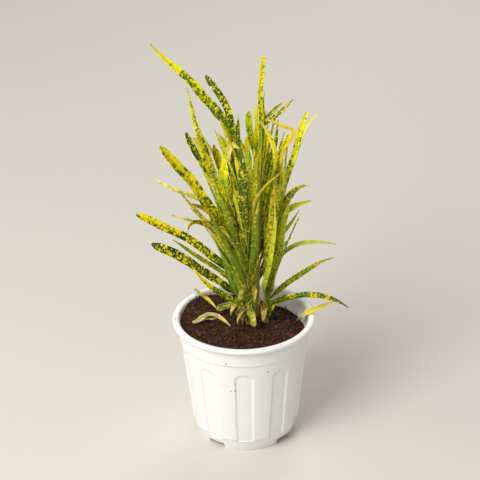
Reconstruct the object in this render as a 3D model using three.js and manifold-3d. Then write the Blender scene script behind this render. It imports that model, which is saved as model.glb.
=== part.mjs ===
// A narrow-leaved croton of four rooted stems in a white six-inch nursery pot of potting soil.
// Millimetres and degrees, +Z up. The origin is on the standing surface under the middle of the pot.
// Headings are compass-like angles in plan: 0 is +X (right), 90 is +Y (back), 270 is -Y (front).

import * as THREE from "three";
import { mergeVertices } from "three/addons/utils/BufferGeometryUtils.js";
import Module from "manifold-3d";

const wasm = await Module();
wasm.setup();
const { Manifold, Mesh: SolidMesh } = wasm;

// Pot: a moulded six-inch nursery pot
const POT_HEIGHT = 145;
const RIM_RADIUS = 80;
const LIP_WIDTH = 8;
const LIP_HEIGHT = 6;
const LIP_NECK = 1.6;
const COLLAR_FLARE = 0.9;
const COLLAR_FLARE_HEIGHT = 8;
const STEP_HEIGHT = 120;
const STEP_RISE = 1;
const STEP_RADIUS = 71;
const COLLAR_RADIUS = 72.6;
const BASE_HEIGHT = 15;
const SHOULDER = 2;
const BODY_FOOT_RADIUS = 59.5;
const BASE_TOP_RADIUS = 58;
const BASE_RADIUS = 52.5;
const WALL = 2;
const BODY_WALL = 3.2;
const BODY_WALL_TOP = 115;
const POT_TURN = -1.3;
const AROUND = 40;

const FLUTES = 10;
const FLUTE_TOP = 107;
const FLUTE_WIDTH = 20;
const FLUTE_FOOT_WIDTH = 18;
const FLUTE_DEPTH = 1.6;
const FLUTE_ARCH = 6;

const FEET = 4;
const FOOT_HEIGHT = 8;
const FOOT_WIDTH = 3.5;
const FOOT_TURN = 5.8;
const NOTCH_SPAN = 23.5;
const FLOOR = 2.5;
const DRAIN_RADIUS = 4;
const DRAIN_CIRCLE = 34;
const DRAIN_SIDES = 8;
const CUT_THROUGH = 6;

// Soil: a loose fill that lies highest at the left and sinks to the right
const CLEARANCE = 0.4;
const SOIL_LEVEL = 132;
const SOIL_RADIUS = 70;
const SLOPE = { front: 3.9, left: 7.4, saddle: 2.7, twist: 8.2 };
const HEAPS = [
  { x: -55, y: 42, height: 3, spread: 15 },
  { x: 56, y: 42, height: 3.2, spread: 17 },
];
const LUMPS = { height: 0.8, right: 5, back: 6 };
const SOIL_RINGS = [1, 0.88, 0.74, 0.58, 0.4, 0.2, 0];
const HOLE_SIDES = 12;

// Stems: each leafy stem keeps to its own quarter round the plant's axis
const PLANT_AXIS = new THREE.Vector2(12, 14);
const STEM_FOOT_HEIGHT = 100;
const STEM_BEND_HEIGHT = 142;
const STEM_FOOT_RADIUS = 3.8;
const STEM_TOP_RADIUS = 2.2;
const STEM_SIDES = 6;

// Leaves
const BLADE = 0.8;
const FOLD = 0.3;
const PETIOLE = 2.6;
const BLADE_START = 0.05;
const BLADE_RISE = 0.18;
const BLADE_FALL = 0.5;
const POINTED = { tip: 0.8, fullness: 1.8 };
const BLUNT = { tip: 4, fullness: 9 };
const BROAD = { tip: 1.2, fullness: 5 };
const EASE = 1.4;
const WALL_MARGIN = 0.5;
const WALL_SOFTNESS = 2;
const FINE_STATIONS = [0, 0.15, 0.4, 0.67, 0.93, 1];
const PLAIN_STATIONS = [0, 0.15, 0.45, 0.8, 1];
const SHORT_STATIONS = [0, 0.3, 0.7, 1];
const LATE_STATIONS = [0, 0.25, 0.6, 0.8, 0.91, 1];
const SHORT_LEAF = 50;
const LATE_CURL = 2.5;
const LEAF_STEPS = 24;

// Leaves that crowd round a stem behind the ones that show one by one
const LOWEST_ROOT = 148;
const BARE_TOP = 25;
const LOW_CROWDING = 1.4;
const GOLDEN_ANGLE = 137.5;
const FAN = 140;
const CROWD_SWEEP = [-30, 30];
const CROWD_PITCH = [70, 86];
const CROWD_BEND = [-12, 6];
const CROWD_WIDTH = [6, 9];
const CROWD_ROLL = [-45, 45];
const CROWD_LEAST_LENGTH = 70;
const CROWD_LEAN = 8;
const BLUNT_SHARE = 0.4;
const CLIMB_SHARE = 0.55;

const COLOURS = {
  pot: { color: "#eeebe4", roughness: 0.42, metalness: 0 },
  soil: { color: "#3a2118", roughness: 1, metalness: 0 },
  foliage: { color: "#7c9a2c", roughness: 0.45, metalness: 0 },
  dry: { color: "#cdb56a", roughness: 0.7, metalness: 0 },
  yellow: { color: "#d9b92e", roughness: 0.55, metalness: 0 },
};

const radians = THREE.MathUtils.degToRad;
const lerp = THREE.MathUtils.lerp;

// A repeatable draw between 0 and 1
function makeDraw(seed) {
  let state = seed;
  return () => {
    state = (state * 16807) % 2147483647;
    return state / 2147483647;
  };
}

// Solids

function solidOf(geometry) {
  const bare = geometry.index ? geometry.toNonIndexed() : geometry.clone();
  bare.deleteAttribute("normal");
  bare.deleteAttribute("uv");
  const merged = mergeVertices(bare, 1e-3);
  const corners = [];
  for (let i = 0; i < merged.index.count; i += 3) {
    const [a, b, c] = [0, 1, 2].map((k) => merged.index.getX(i + k));
    if (a !== b && b !== c && c !== a) corners.push(a, b, c);
  }
  return new Manifold(
    new SolidMesh({
      numProp: 3,
      vertProperties: merged.attributes.position.array,
      triVerts: new Uint32Array(corners),
    }),
  );
}

// Grown pieces as one body, with any pocket that they seal between them filled
function fused(pieces) {
  const bodies = Manifold.union(pieces).decompose();
  return bodies.reduce((most, body) => (body.volume() > most.volume() ? body : most));
}

function namedMesh(name, solid, look) {
  const made = solid.getMesh();
  const geometry = new THREE.BufferGeometry()
    .setAttribute("position", new THREE.BufferAttribute(made.vertProperties, 3))
    .setIndex(new THREE.BufferAttribute(made.triVerts, 1));
  geometry.computeVertexNormals();
  const mesh = new THREE.Mesh(geometry, new THREE.MeshStandardMaterial(look));
  mesh.name = name;
  return mesh;
}

// Joins rings of points into a closed skin. Both faces of a blade are split along the same diagonals.
function loft(rings, caps) {
  const sides = rings[0].length;
  const index = [];
  for (let i = 0; i + 1 < rings.length; i++) {
    for (let k = 0; k < sides; k++) {
      const next = (k + 1) % sides;
      const [a, b] = [i * sides + k, i * sides + next];
      const [c, d] = [b + sides, a + sides];
      if (k < sides / 2) index.push(a, b, c, a, c, d);
      else index.push(a, b, d, b, c, d);
    }
  }
  const last = (rings.length - 1) * sides;
  for (const [a, b, c] of caps) index.push(c, b, a, last + a, last + b, last + c);
  const geometry = new THREE.BufferGeometry().setFromPoints(rings.flat());
  geometry.setIndex(index);
  return geometry;
}

// Pot

function bodyRadius(height) {
  const foot = BASE_HEIGHT + SHOULDER;
  return lerp(BODY_FOOT_RADIUS, STEP_RADIUS, (height - foot) / (STEP_HEIGHT - STEP_RISE - foot));
}

// The inner wall from the floor up to the lip, as points of radius and height
function innerWall() {
  const floorTop = FOOT_HEIGHT + FLOOR;
  return [
    [bodyRadius(floorTop) - BODY_WALL, floorTop],
    [bodyRadius(BODY_WALL_TOP) - BODY_WALL, BODY_WALL_TOP],
    [COLLAR_RADIUS - WALL, STEP_HEIGHT + STEP_RISE],
    [COLLAR_RADIUS + COLLAR_FLARE - WALL, POT_HEIGHT - LIP_HEIGHT],
    [RIM_RADIUS - LIP_WIDTH, POT_HEIGHT - LIP_HEIGHT / 2],
  ];
}

function innerRadius(height) {
  const wall = innerWall();
  const above = Math.max(1, wall.findIndex(([, z]) => z > height));
  const [[r0, z0], [r1, z1]] = [wall[above - 1], wall[above]];
  return lerp(r0, r1, (height - z0) / (z1 - z0));
}

function potProfile() {
  const lipUnder = POT_HEIGHT - LIP_HEIGHT;
  const lipMiddle = RIM_RADIUS - LIP_WIDTH / 2;
  const outline = new THREE.Path();
  outline.moveTo(0, FOOT_HEIGHT);
  outline.lineTo(BASE_RADIUS - FOOT_WIDTH, FOOT_HEIGHT);
  outline.lineTo(BASE_RADIUS - FOOT_WIDTH, 0);
  outline.lineTo(BASE_RADIUS, 0);
  outline.lineTo(BASE_TOP_RADIUS, BASE_HEIGHT);
  outline.lineTo(BODY_FOOT_RADIUS, BASE_HEIGHT + SHOULDER);
  outline.lineTo(STEP_RADIUS, STEP_HEIGHT - STEP_RISE);
  outline.lineTo(COLLAR_RADIUS, STEP_HEIGHT + STEP_RISE);
  outline.lineTo(COLLAR_RADIUS + COLLAR_FLARE, lipUnder - COLLAR_FLARE_HEIGHT);
  outline.lineTo(lipMiddle - LIP_NECK, lipUnder - LIP_NECK);
  outline.lineTo(lipMiddle, lipUnder);
  outline.absellipse(
    lipMiddle, POT_HEIGHT - LIP_HEIGHT / 2, LIP_WIDTH / 2, LIP_HEIGHT / 2,
    radians(-90), radians(180), false, 0,
  );
  for (const [r, z] of innerWall().reverse()) outline.lineTo(r, z);
  outline.lineTo(0, FOOT_HEIGHT + FLOOR);
  return outline.getPoints(4);
}

function fluteCutter(turn) {
  const slope = Math.atan2(bodyRadius(FLUTE_TOP) - bodyRadius(BASE_HEIGHT), FLUTE_TOP - BASE_HEIGHT);
  const length = (FLUTE_TOP - BASE_HEIGHT) / Math.cos(slope);
  const spring = length - FLUTE_ARCH;
  const arch = new THREE.Shape();
  arch.moveTo(-FLUTE_FOOT_WIDTH / 2, 0);
  arch.lineTo(FLUTE_FOOT_WIDTH / 2, 0);
  arch.lineTo(FLUTE_WIDTH / 2, spring);
  arch.absellipse(0, spring, FLUTE_WIDTH / 2, length - spring, 0, Math.PI, false, 0);
  const cutter = new THREE.ExtrudeGeometry(arch, {
    depth: CUT_THROUGH, bevelEnabled: false, curveSegments: 6,
  });
  cutter.rotateX(Math.PI / 2 + slope);
  cutter.translate(0, FLUTE_DEPTH - bodyRadius(BASE_HEIGHT), BASE_HEIGHT);
  cutter.rotateZ(radians(turn));
  return solidOf(cutter);
}

function notchCutter(turn) {
  const reach = BASE_RADIUS + CUT_THROUGH;
  const wedge = new THREE.Shape();
  wedge.moveTo(0, 0);
  for (const side of [-0.5, 0, 0.5]) {
    const angle = radians(side * NOTCH_SPAN) - Math.PI / 2;
    wedge.lineTo(reach * Math.cos(angle), reach * Math.sin(angle));
  }
  const cutter = new THREE.ExtrudeGeometry(wedge, { depth: FOOT_HEIGHT + CUT_THROUGH, bevelEnabled: false });
  cutter.translate(0, 0, -CUT_THROUGH);
  cutter.rotateZ(radians(turn));
  return solidOf(cutter);
}

function drainCutter(x, y) {
  const hole = new THREE.CylinderGeometry(DRAIN_RADIUS, DRAIN_RADIUS, FLOOR + CUT_THROUGH, DRAIN_SIDES);
  hole.rotateX(Math.PI / 2);
  hole.translate(x, y, FOOT_HEIGHT + FLOOR / 2);
  return solidOf(hole);
}

function makePot() {
  const shell = new THREE.LatheGeometry(potProfile(), AROUND);
  shell.rotateX(Math.PI / 2);
  shell.rotateZ(radians(POT_TURN));
  const cutters = [];
  for (let k = 0; k < FLUTES; k++) cutters.push(fluteCutter(POT_TURN + (k * 360) / FLUTES));
  for (let k = 0; k < FEET; k++) {
    const turn = FOOT_TURN + ((k + 0.5) * 360) / FEET;
    cutters.push(notchCutter(turn));
    const angle = radians(turn);
    cutters.push(drainCutter(DRAIN_CIRCLE * Math.cos(angle), DRAIN_CIRCLE * Math.sin(angle)));
  }
  return solidOf(shell).subtract(Manifold.union(cutters));
}

// Soil

function soilHeight(x, y) {
  const [right, front] = [x / SOIL_RADIUS, -y / SOIL_RADIUS];
  const slope = SLOPE.front * front - SLOPE.left * right;
  const warp = SLOPE.saddle * (front ** 2 - right ** 2) + SLOPE.twist * right * front;
  const heaped = HEAPS.reduce((sum, heap) => {
    const away = Math.hypot(x - heap.x, y - heap.y) / heap.spread;
    return sum + heap.height * Math.exp(-(away ** 2) / 2);
  }, 0);
  const lumps = LUMPS.height * Math.sin(x / LUMPS.right + 1) * Math.sin(y / LUMPS.back + 2);
  return SOIL_LEVEL + slope + warp + heaped + lumps;
}

function makeSoil(stems) {
  const bottom = FOOT_HEIGHT + FLOOR + CLEARANCE;
  const [foot, top] = innerWall();
  const points = [
    new THREE.Vector2(0, bottom),
    new THREE.Vector2(foot[0] - CLEARANCE, bottom),
    new THREE.Vector2(top[0] - CLEARANCE, top[1]),
    ...SOIL_RINGS.map((share) => new THREE.Vector2(share * SOIL_RADIUS, POT_HEIGHT)),
  ];
  const fill = new THREE.LatheGeometry(points, AROUND);
  fill.rotateX(Math.PI / 2);
  fill.rotateZ(radians(POT_TURN));
  const place = fill.attributes.position;
  for (let i = 0; i < place.count; i++) {
    const [x, y] = [place.getX(i), place.getY(i)];
    const radius = Math.hypot(x, y);
    if (place.getZ(i) < POT_HEIGHT - CLEARANCE) continue;
    const height = soilHeight(x, y);
    const atWall = radius > SOIL_RADIUS - CLEARANCE;
    const out = atWall ? (innerRadius(height) - CLEARANCE) / radius : 1;
    place.setXYZ(i, x * out, y * out, height);
  }
  const holes = stems.map(({ foot: [x, y] }) => {
    const radius = STEM_FOOT_RADIUS + CLEARANCE;
    const hole = new THREE.CylinderGeometry(radius, radius, POT_HEIGHT, HOLE_SIDES);
    hole.rotateX(Math.PI / 2);
    hole.translate(x, y, STEM_FOOT_HEIGHT - CLEARANCE + POT_HEIGHT / 2);
    return solidOf(hole);
  });
  return solidOf(fill).subtract(Manifold.union(holes));
}

// Stems and leaves

// The two upright planes that bound a stem's quarter, as inward normals
function quarterWalls(start) {
  const [a, b] = [radians(start), radians(start + 90)];
  return [
    new THREE.Vector3(-Math.sin(a), Math.cos(a), 0),
    new THREE.Vector3(Math.sin(b), -Math.cos(b), 0),
  ];
}

function stemPoint(stem, height) {
  const share = Math.max(0, (height - STEM_BEND_HEIGHT) / (stem.top[2] - STEM_BEND_HEIGHT));
  return new THREE.Vector3(
    lerp(stem.foot[0], stem.top[0], share),
    lerp(stem.foot[1], stem.top[1], share),
    height,
  );
}

function makeStem(stem) {
  const heights = [STEM_FOOT_HEIGHT, STEM_BEND_HEIGHT, (STEM_BEND_HEIGHT + stem.top[2]) / 2, stem.top[2]];
  const rings = heights.map((height) => {
    const share = Math.max(0, (height - STEM_BEND_HEIGHT) / (stem.top[2] - STEM_BEND_HEIGHT));
    const radius = lerp(STEM_FOOT_RADIUS, STEM_TOP_RADIUS, share);
    const centre = stemPoint(stem, height);
    return Array.from({ length: STEM_SIDES }, (_, k) => {
      const angle = (2 * Math.PI * k) / STEM_SIDES;
      const out = new THREE.Vector3(radius * Math.cos(angle), radius * Math.sin(angle), 0);
      return out.add(centre);
    });
  });
  const caps = Array.from({ length: STEM_SIDES - 2 }, (_, k) => [0, k + 1, k + 2]);
  return solidOf(loft(rings, caps));
}

function bladeHalfWidth(leaf, t) {
  const rise = Math.sin((Math.PI / 2) * Math.min(1, Math.max(0, t - BLADE_START) / BLADE_RISE));
  const fall = 1 - Math.max(0, (t - BLADE_FALL) / (1 - BLADE_FALL)) ** leaf.shape.fullness;
  const least = t < BLADE_FALL ? PETIOLE : leaf.shape.tip;
  return Math.max(least, leaf.width * rise * fall) / 2;
}

// Where the leaf's middle line is at t, how it runs there, and which way its blade lies
function leafPlace(stem, leaf, t) {
  const point = stemPoint(stem, leaf.root);
  const angles = (s) => {
    const eased = s ** leaf.curl;
    return [radians(leaf.heading + leaf.sweep * eased), radians(lerp(leaf.pitch, leaf.tipPitch, eased))];
  };
  const along = (s) => {
    const [h, p] = angles(s);
    return new THREE.Vector3(Math.cos(p) * Math.cos(h), Math.cos(p) * Math.sin(h), Math.sin(p));
  };
  for (let i = 0; i < LEAF_STEPS; i++) {
    point.addScaledVector(along(((i + 0.5) / LEAF_STEPS) * t), (leaf.length * t) / LEAF_STEPS);
  }
  const [heading] = angles(0);
  const bark = new THREE.Vector3(Math.cos(heading), Math.sin(heading), 0);
  point.addScaledVector(bark, (STEM_TOP_RADIUS - BLADE) * (1 - t));
  const run = along(t);
  const level = new THREE.Vector3(-Math.sin(angles(t)[0]), Math.cos(angles(t)[0]), 0);
  const side = level.applyAxisAngle(run, radians(leaf.roll));
  return { point, side, face: new THREE.Vector3().crossVectors(run, side) };
}

// Pushes a section clear of the upright planes of its quarter, softly, as leaves crowd aside
function keepInQuarter(ring, centre, walls) {
  for (const wall of walls) {
    const distance = (centre.x - PLANT_AXIS.x) * wall.x + (centre.y - PLANT_AXIS.y) * wall.y;
    const spread = Math.max(...ring.map((p) => p.clone().sub(centre).dot(wall) * -1));
    const spare = distance - spread - WALL_MARGIN;
    const kept = 0.5 * (spare + Math.hypot(spare, 2 * WALL_SOFTNESS));
    const shift = wall.clone().multiplyScalar(kept - spare);
    ring.forEach((p) => p.add(shift));
    centre.add(shift);
  }
}

// A section across a blade: folded up along its midrib, or plain and flat
function bladeRing({ point, side, face }, half, folded = true) {
  const at = (across, up) => point.clone().addScaledVector(side, across).addScaledVector(face, up);
  if (!folded) return [at(-half, -BLADE), at(half, -BLADE), at(half, 0), at(-half, 0)];
  const lift = FOLD * half;
  return [
    at(-half, lift - BLADE), at(0, -BLADE), at(half, lift - BLADE),
    at(half, lift), at(0, 0), at(-half, lift),
  ];
}

const FOLDED_CAPS = [[0, 1, 4], [0, 4, 5], [1, 2, 3], [1, 3, 4]];
const FLAT_CAPS = [[0, 1, 2], [0, 2, 3]];

function makeLeaf(stem, leaf) {
  const walls = quarterWalls(stem.quarter);
  const rings = leaf.stations.map((t) => {
    const place = leafPlace(stem, leaf, t);
    const ring = bladeRing(place, bladeHalfWidth(leaf, t), leaf.folded);
    keepInQuarter(ring, place.point, walls);
    return ring;
  });
  return solidOf(loft(rings, leaf.folded ? FOLDED_CAPS : FLAT_CAPS));
}

// Leaves that show one by one: height of the root on the stem, heading and how far it swings on the way,
// pitch at the root and at the tip, length, width, roll of the blade, how late it bends, and its tip
function leafFrom([root, heading, sweep, pitch, tipPitch, length, width, roll, curl = EASE, shape = POINTED]) {
  const stations = length < SHORT_LEAF ? SHORT_STATIONS : curl > LATE_CURL ? LATE_STATIONS : FINE_STATIONS;
  return { root, heading, sweep, pitch, tipPitch, length, width, roll, curl, shape, folded: true, stations };
}

const STEMS = [
  {
    name: "leafy_stem_left", quarter: 110, foot: [-3, 21], top: [0, 26, 345],
    seed: 11, tips: [270, 385], crowd: 11,
    leaves: [
      [156, 196, -15, 46, 29, 127, 10, -55, EASE, BLUNT],
      [179, 176, 11, 45, 24, 142, 9, -50, EASE, BLUNT],
      [169, 161, 5, 35, 27, 93, 6, -40],
      [251, 185, -45, 35, 4, 114, 5, -40],
      [228, 190, -6, 70, 79, 197, 9, 65],
      [246, 181, 45, 62, 77, 124, 8, 60, EASE, BLUNT],
      [254, 172, -11, 54, 68, 116, 7, -50, EASE, BLUNT],
      [318, 181, -60, 86, 28, 112, 7, -50, 2, BLUNT],
      [230, 156, 3, 11, 9, 84, 4, -30],
      [151, 194, 0, -13, -10, 29, 8, -35, EASE, BLUNT],
      [150, 225, 0, 10, -80, 22, 5, 0, 1],
      [150, 205, -15, 72, 82, 118, 8, 75, EASE, BLUNT],
    ],
  },
  {
    name: "leafy_stem_front", quarter: 200, foot: [8, 5], top: [12, -12, 300],
    seed: 23, tips: [280, 400], crowd: 9,
    leaves: [
      [154, 219, -40, 33, 58, 100, 7, -60],
      [209, 197, 9, 62, 53, 193, 11, -75, EASE, BLUNT],
      [246, 206, 8, 41, 38, 101, 7, -65],
      [227, 228, -24, 38, 55, 116, 7, 60],
      [298, 248, -101, 89, 34, 226, 11, -45, 0.74],
      [217, 250, 38, 63, 82, 150, 11, 12, EASE, BLUNT],
      [175, 153, -37, 72, 260, 217, 10, -75, 5.7, BROAD],
      [246, 274, 92, 67, 18, 148, 3, -30, 2.1],
      [211, 209, 100, 50, -89, 135, 6, -50, 5.6],
      [152, 222, 0, 20, -80, 28, 6, 20, 1],
      [150, 280, 0, 10, -80, 24, 6, 20, 1, BLUNT],
      [177, 230, -8, 46, -69, 27, 6, 15, 1],
      [185, 290, -40, 22, -83, 32, 5, -30],
      [152, 212, 8, 66, 78, 116, 8, 50, EASE, BLUNT],
      [150, 288, -8, 83, 86, 120, 8, 0],
    ],
  },
  {
    name: "leafy_stem_right", quarter: 290, foot: [24, 14], top: [42, 4, 300],
    seed: 37, tips: [260, 365], crowd: 11, leftOut: [4, 5, 7, 10],
    leaves: [
      [235, 369, -10, 81, 48, 164, 7, 60, 2.3],
      [234, 330, 60, 89, 67, 155, 6, 65, 0.57, BLUNT],
      [223, 337, -34, 87, 23, 116, 8, -60],
      [228, 341, 45, 89, -6, 77, 8, 50],
      [150, 304, 45, 74, 79, 138, 7, -65, EASE, BLUNT],
      [160, 253, 23, 48, 88, 167, 7, -40],
      [200, 290, 45, 60, 46, 61, 5, -50],
      [194, 335, 31, 75, -22, 95, 5, 45, 1],
      [156, 370, -15, 43, 19, 92, 6, 30],
      [152, 332, 51, 31, -52, 106, 7, 35, 1.7],
      [150, 364, 5, 23, -9, 49, 6, 40],
      [150, 250, 0, 10, -85, 24, 7, 0, 1],
      [150, 268, 20, 82, 87, 122, 7, -40],
      [235, 289, 30, 80, 175, 161, 6, -25, 3],
      [234, 348, 60, 89, 59, 128, 6, 60, 2.9, BLUNT],
    ],
  },
  {
    name: "leafy_stem_back", quarter: 20, foot: [14, 31], top: [24, 42, 364],
    seed: 53, tips: [280, 378], crowd: 11, leftOut: [0, 10],
    hanging: {
      width: 5, roll: 10,
      points: [
        [25.3, 42, 363.9], [31.8, 42, 362.5], [44.7, 41, 356.7], [57.7, 40, 348.5],
        [53.2, 39, 337.2], [46.5, 38, 325.8], [45.2, 38, 307.7], [47.3, 38, 290.6],
      ],
    },
    leaves: [
      [310, 150, -45, 65, 89, 63, 7, -30, EASE, BLUNT],
      [310, 124, -40, 74, 89, 54, 6, -10],
      [300, 62, -10, 89, 83, 138, 5, 45, EASE, BLUNT],
      [361, 24, 0, 42, 28, 33, 4, 50],
      [357, 5, 0, 36, 47, 46, 4, 60],
      [221, 41, 100, 68, 68, 130, 7, 20],
      [221, 14, 4, 75, 77, 131, 7, 50],
      [195, 11, 14, 44, 56, 76, 5, 35],
      [175, 75, 10, 76, 56, 110, 8, 20, EASE, BLUNT],
      [190, 110, -15, 80, 58, 116, 8, -20],
      [165, 45, 20, 62, 30, 85, 8, 10, EASE, BLUNT],
    ],
  },
];

// The rest of a stem's leaves: upright ones that climb it by the golden angle, fanned over its quarter.
// Those that would stand clear of the plant's outline in the photograph are left out, by number.
function crowdLeaf(stem, share, turn, draw) {
  const root = lerp(LOWEST_ROOT, stem.top[2] - BARE_TOP, share ** LOW_CROWDING);
  const pitch = lerp(...CROWD_PITCH, draw());
  const tipHeight = lerp(...stem.tips, lerp(draw(), share, CLIMB_SHARE));
  return {
    root,
    heading: stem.quarter + 45 + FAN * turn,
    sweep: lerp(...CROWD_SWEEP, draw()),
    pitch,
    tipPitch: pitch + lerp(...CROWD_BEND, draw()),
    length: Math.max(CROWD_LEAST_LENGTH, (tipHeight - root) / Math.sin(radians(pitch - CROWD_LEAN))),
    width: lerp(...CROWD_WIDTH, draw()),
    roll: lerp(...CROWD_ROLL, draw()),
    curl: EASE,
    shape: draw() < BLUNT_SHARE ? BLUNT : POINTED,
    folded: false,
    stations: PLAIN_STATIONS,
  };
}

function crowdLeaves(stem) {
  const draw = makeDraw(stem.seed);
  const leaves = Array.from({ length: stem.crowd }, (_, k) => {
    const turn = ((k * GOLDEN_ANGLE) % 360) / 360 - 0.5;
    return crowdLeaf(stem, (k + 0.5) / stem.crowd, turn, draw);
  });
  return leaves.filter((_, k) => !stem.leftOut?.includes(k));
}

// A leaf that lies along a few points
function makeRibbon({ points, width, roll }) {
  const path = new THREE.CatmullRomCurve3(points.map((p) => new THREE.Vector3(...p)));
  const rings = FINE_STATIONS.map((t) => {
    const run = path.getTangentAt(t);
    const level = new THREE.Vector3(-run.y, run.x, 0).normalize();
    const side = level.applyAxisAngle(run, radians(roll));
    const half = bladeHalfWidth({ width, shape: POINTED }, t);
    const face = new THREE.Vector3().crossVectors(run, side);
    return bladeRing({ point: path.getPointAt(t), side, face }, half);
  });
  return solidOf(loft(rings, FOLDED_CAPS));
}

function makeLeafyStem(stem) {
  const leaves = [...stem.leaves.map(leafFrom), ...crowdLeaves(stem)].map((leaf) => makeLeaf(stem, leaf));
  if (stem.hanging) leaves.push(makeRibbon(stem.hanging));
  return fused([makeStem(stem), ...leaves]);
}

// Fallen leaves lie on the soil and the rim
const FALLEN = [
  {
    name: "fallen_leaf_curled", look: COLOURS.dry, width: 6, roll: 20,
    points: [
      [-57, -4, 138.6], [-49, 0, 141.2], [-41, 3, 143.6],
      [-31, 3, 143], [-22, 0, 138.7], [-15, -5, 134.7],
    ],
  },
  {
    name: "fallen_leaf_leaning", look: COLOURS.yellow, width: 6, roll: -15,
    points: [[-56, 58, 146.8], [-50, 52.5, 145.8], [-43, 45, 142.6], [-36, 37, 140], [-31, 30, 138]],
  },
  {
    name: "fallen_leaf_rim", look: COLOURS.yellow, width: 7, roll: 20,
    points: [
      [61, 18.6, 126], [64.5, 6, 138], [70.5, 0, 145.8],
      [79.6, 3.8, 147.4], [92.2, 9.3, 151], [105.8, 12.4, 156],
    ],
  },
];

const croton = new THREE.Group();
croton.name = "potted_croton";
croton.add(namedMesh("pot", makePot(), COLOURS.pot));
croton.add(namedMesh("potting_soil", makeSoil(STEMS), COLOURS.soil));
for (const stem of STEMS) croton.add(namedMesh(stem.name, makeLeafyStem(stem), COLOURS.foliage));
for (const leaf of FALLEN) croton.add(namedMesh(leaf.name, makeRibbon(leaf), leaf.look));

export default croton;
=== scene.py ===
"""A potted croton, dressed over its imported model.

Metres, +Z up, in the CAD frame. Sizes and places are written in millimetres and headings in degrees:
heading 0 is to the right (+X), 90 to the back (+Y) and 270 to the front.
"""

import math
import random
from collections import namedtuple

import bpy
import numpy as np
from mathutils import Euler, Matrix, Vector, noise


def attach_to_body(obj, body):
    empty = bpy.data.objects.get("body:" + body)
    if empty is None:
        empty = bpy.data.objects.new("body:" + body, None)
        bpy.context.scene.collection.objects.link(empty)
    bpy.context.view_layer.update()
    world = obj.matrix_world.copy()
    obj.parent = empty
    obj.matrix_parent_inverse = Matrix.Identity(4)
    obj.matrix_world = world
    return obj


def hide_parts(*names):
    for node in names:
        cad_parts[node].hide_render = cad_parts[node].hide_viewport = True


MM = 0.001

# The view of the photograph: a standing person looks down on the plant from a little over two metres
CAMERA_LENS_MM = 150.7
CAMERA_DISTANCE = 2200
CAMERA_ELEVATION = 27.5
CAMERA_ROLL = -1.24
CAMERA_TARGET = (-2.5, 0, 239.6)

# Pot: a moulded six-inch nursery pot
POT_HEIGHT = 145
RIM_RADIUS = 80
LIP_WIDTH = 8
LIP_HEIGHT = 6
LIP_NECK = 1.6
LIP_STEPS = 24
LIP_START, LIP_SWEEP = -90, 270
COLLAR_RADIUS = 72.6
COLLAR_FLARE = 0.9
COLLAR_FLARE_HEIGHT = 8
STEP_HEIGHT = 120
STEP_RISE = 1
STEP_RADIUS = 71
BASE_HEIGHT = 15
SHOULDER = 2
BODY_FOOT_RADIUS = 59.5
BASE_TOP_RADIUS = 58
BASE_RADIUS = 52.5
WALL = 2
BODY_WALL = 3.2
BODY_WALL_TOP = 115
POT_TURN = -1.3
POT_STEPS = 360
ROW_RISE = 1.5
INNER_ROW_RISE = 4
EDGE_ROUND = 0.5

FLUTES = 10
FLUTE_TOP = 107
FLUTE_WIDTH = 20
FLUTE_FOOT_WIDTH = 18
FLUTE_DEPTH = 1.6
FLUTE_ARCH = 6
FLUTE_EDGE = 1.3
FLUTE_START, FLUTE_EASE = 0.5, 0.6
OUTER_WALL = 2.2

FEET = 4
FOOT_HEIGHT = 8
FOOT_WIDTH = 3.5
FOOT_TURN = 5.8
NOTCH_SPAN = 23.5
NOTCH_TOP = 7.6
NOTCH_INSIDE, NOTCH_OUTSIDE, NOTCH_BELOW = 4, 6, 5
FLOOR = 2.5
DRAIN_RADIUS = 4
DRAIN_CIRCLE = 34

# Soil
CLEARANCE = 0.4
SOIL_LEVEL = 132
SOIL_RADIUS = 70
SOIL_RINGS = 71
SLOPE_FRONT, SLOPE_LEFT, SADDLE, TWIST = 3.9, 7.4, 2.7, 8.2
# Heaps: place, height and spread. Grains: width and depth
HEAPS = [(-55, 42, 3, 15), (56, 42, 3.2, 17)]
LUMP_HEIGHT, LUMP_RIGHT, LUMP_BACK = 0.8, 5, 6
GRAINS = [(9, 1.3), (4, 1.1), (2, 0.7)]
CRUMBS = 950
CRUMB_LEAST, CRUMB_MORE = 1.1, 3.6
CRUMB_FLATNESS = 0.65
CRUMB_SWELL = 0.55
CRUMB_TONES = (-0.15, 0.55)
SPECK_TONE = 0.1
WALL_CRUMBS = 46
WALL_CRUMB_SIZE = (0.9, 2.2)
FIBRES = 130
FIBRE_RADIUS = 0.16
FIBRE_LENGTH = (5, 16)
FIBRE_TONES = (0.2, 0.9)
# Crumbs that cling to the pot: heading, height and size, and on its rim: heading, radius and size
SPECKS_ON_POT = [(-106.5, 123.9, 1.5), (-100.1, 96.6, 1.3), (-99.9, 86.9, 1.5), (-103.8, 86.4, 1.1),
                 (-69, 109.8, 1.4)]
SPECKS_ON_RIM = [(-175.9, 76.5, 1.3), (146.9, 72.4, 1.5), (-107.9, 72.6, 2.6), (-104.6, 71.9, 2.2),
                 (-101, 71.6, 2.4), (-97.3, 72.6, 1.9)]

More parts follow.
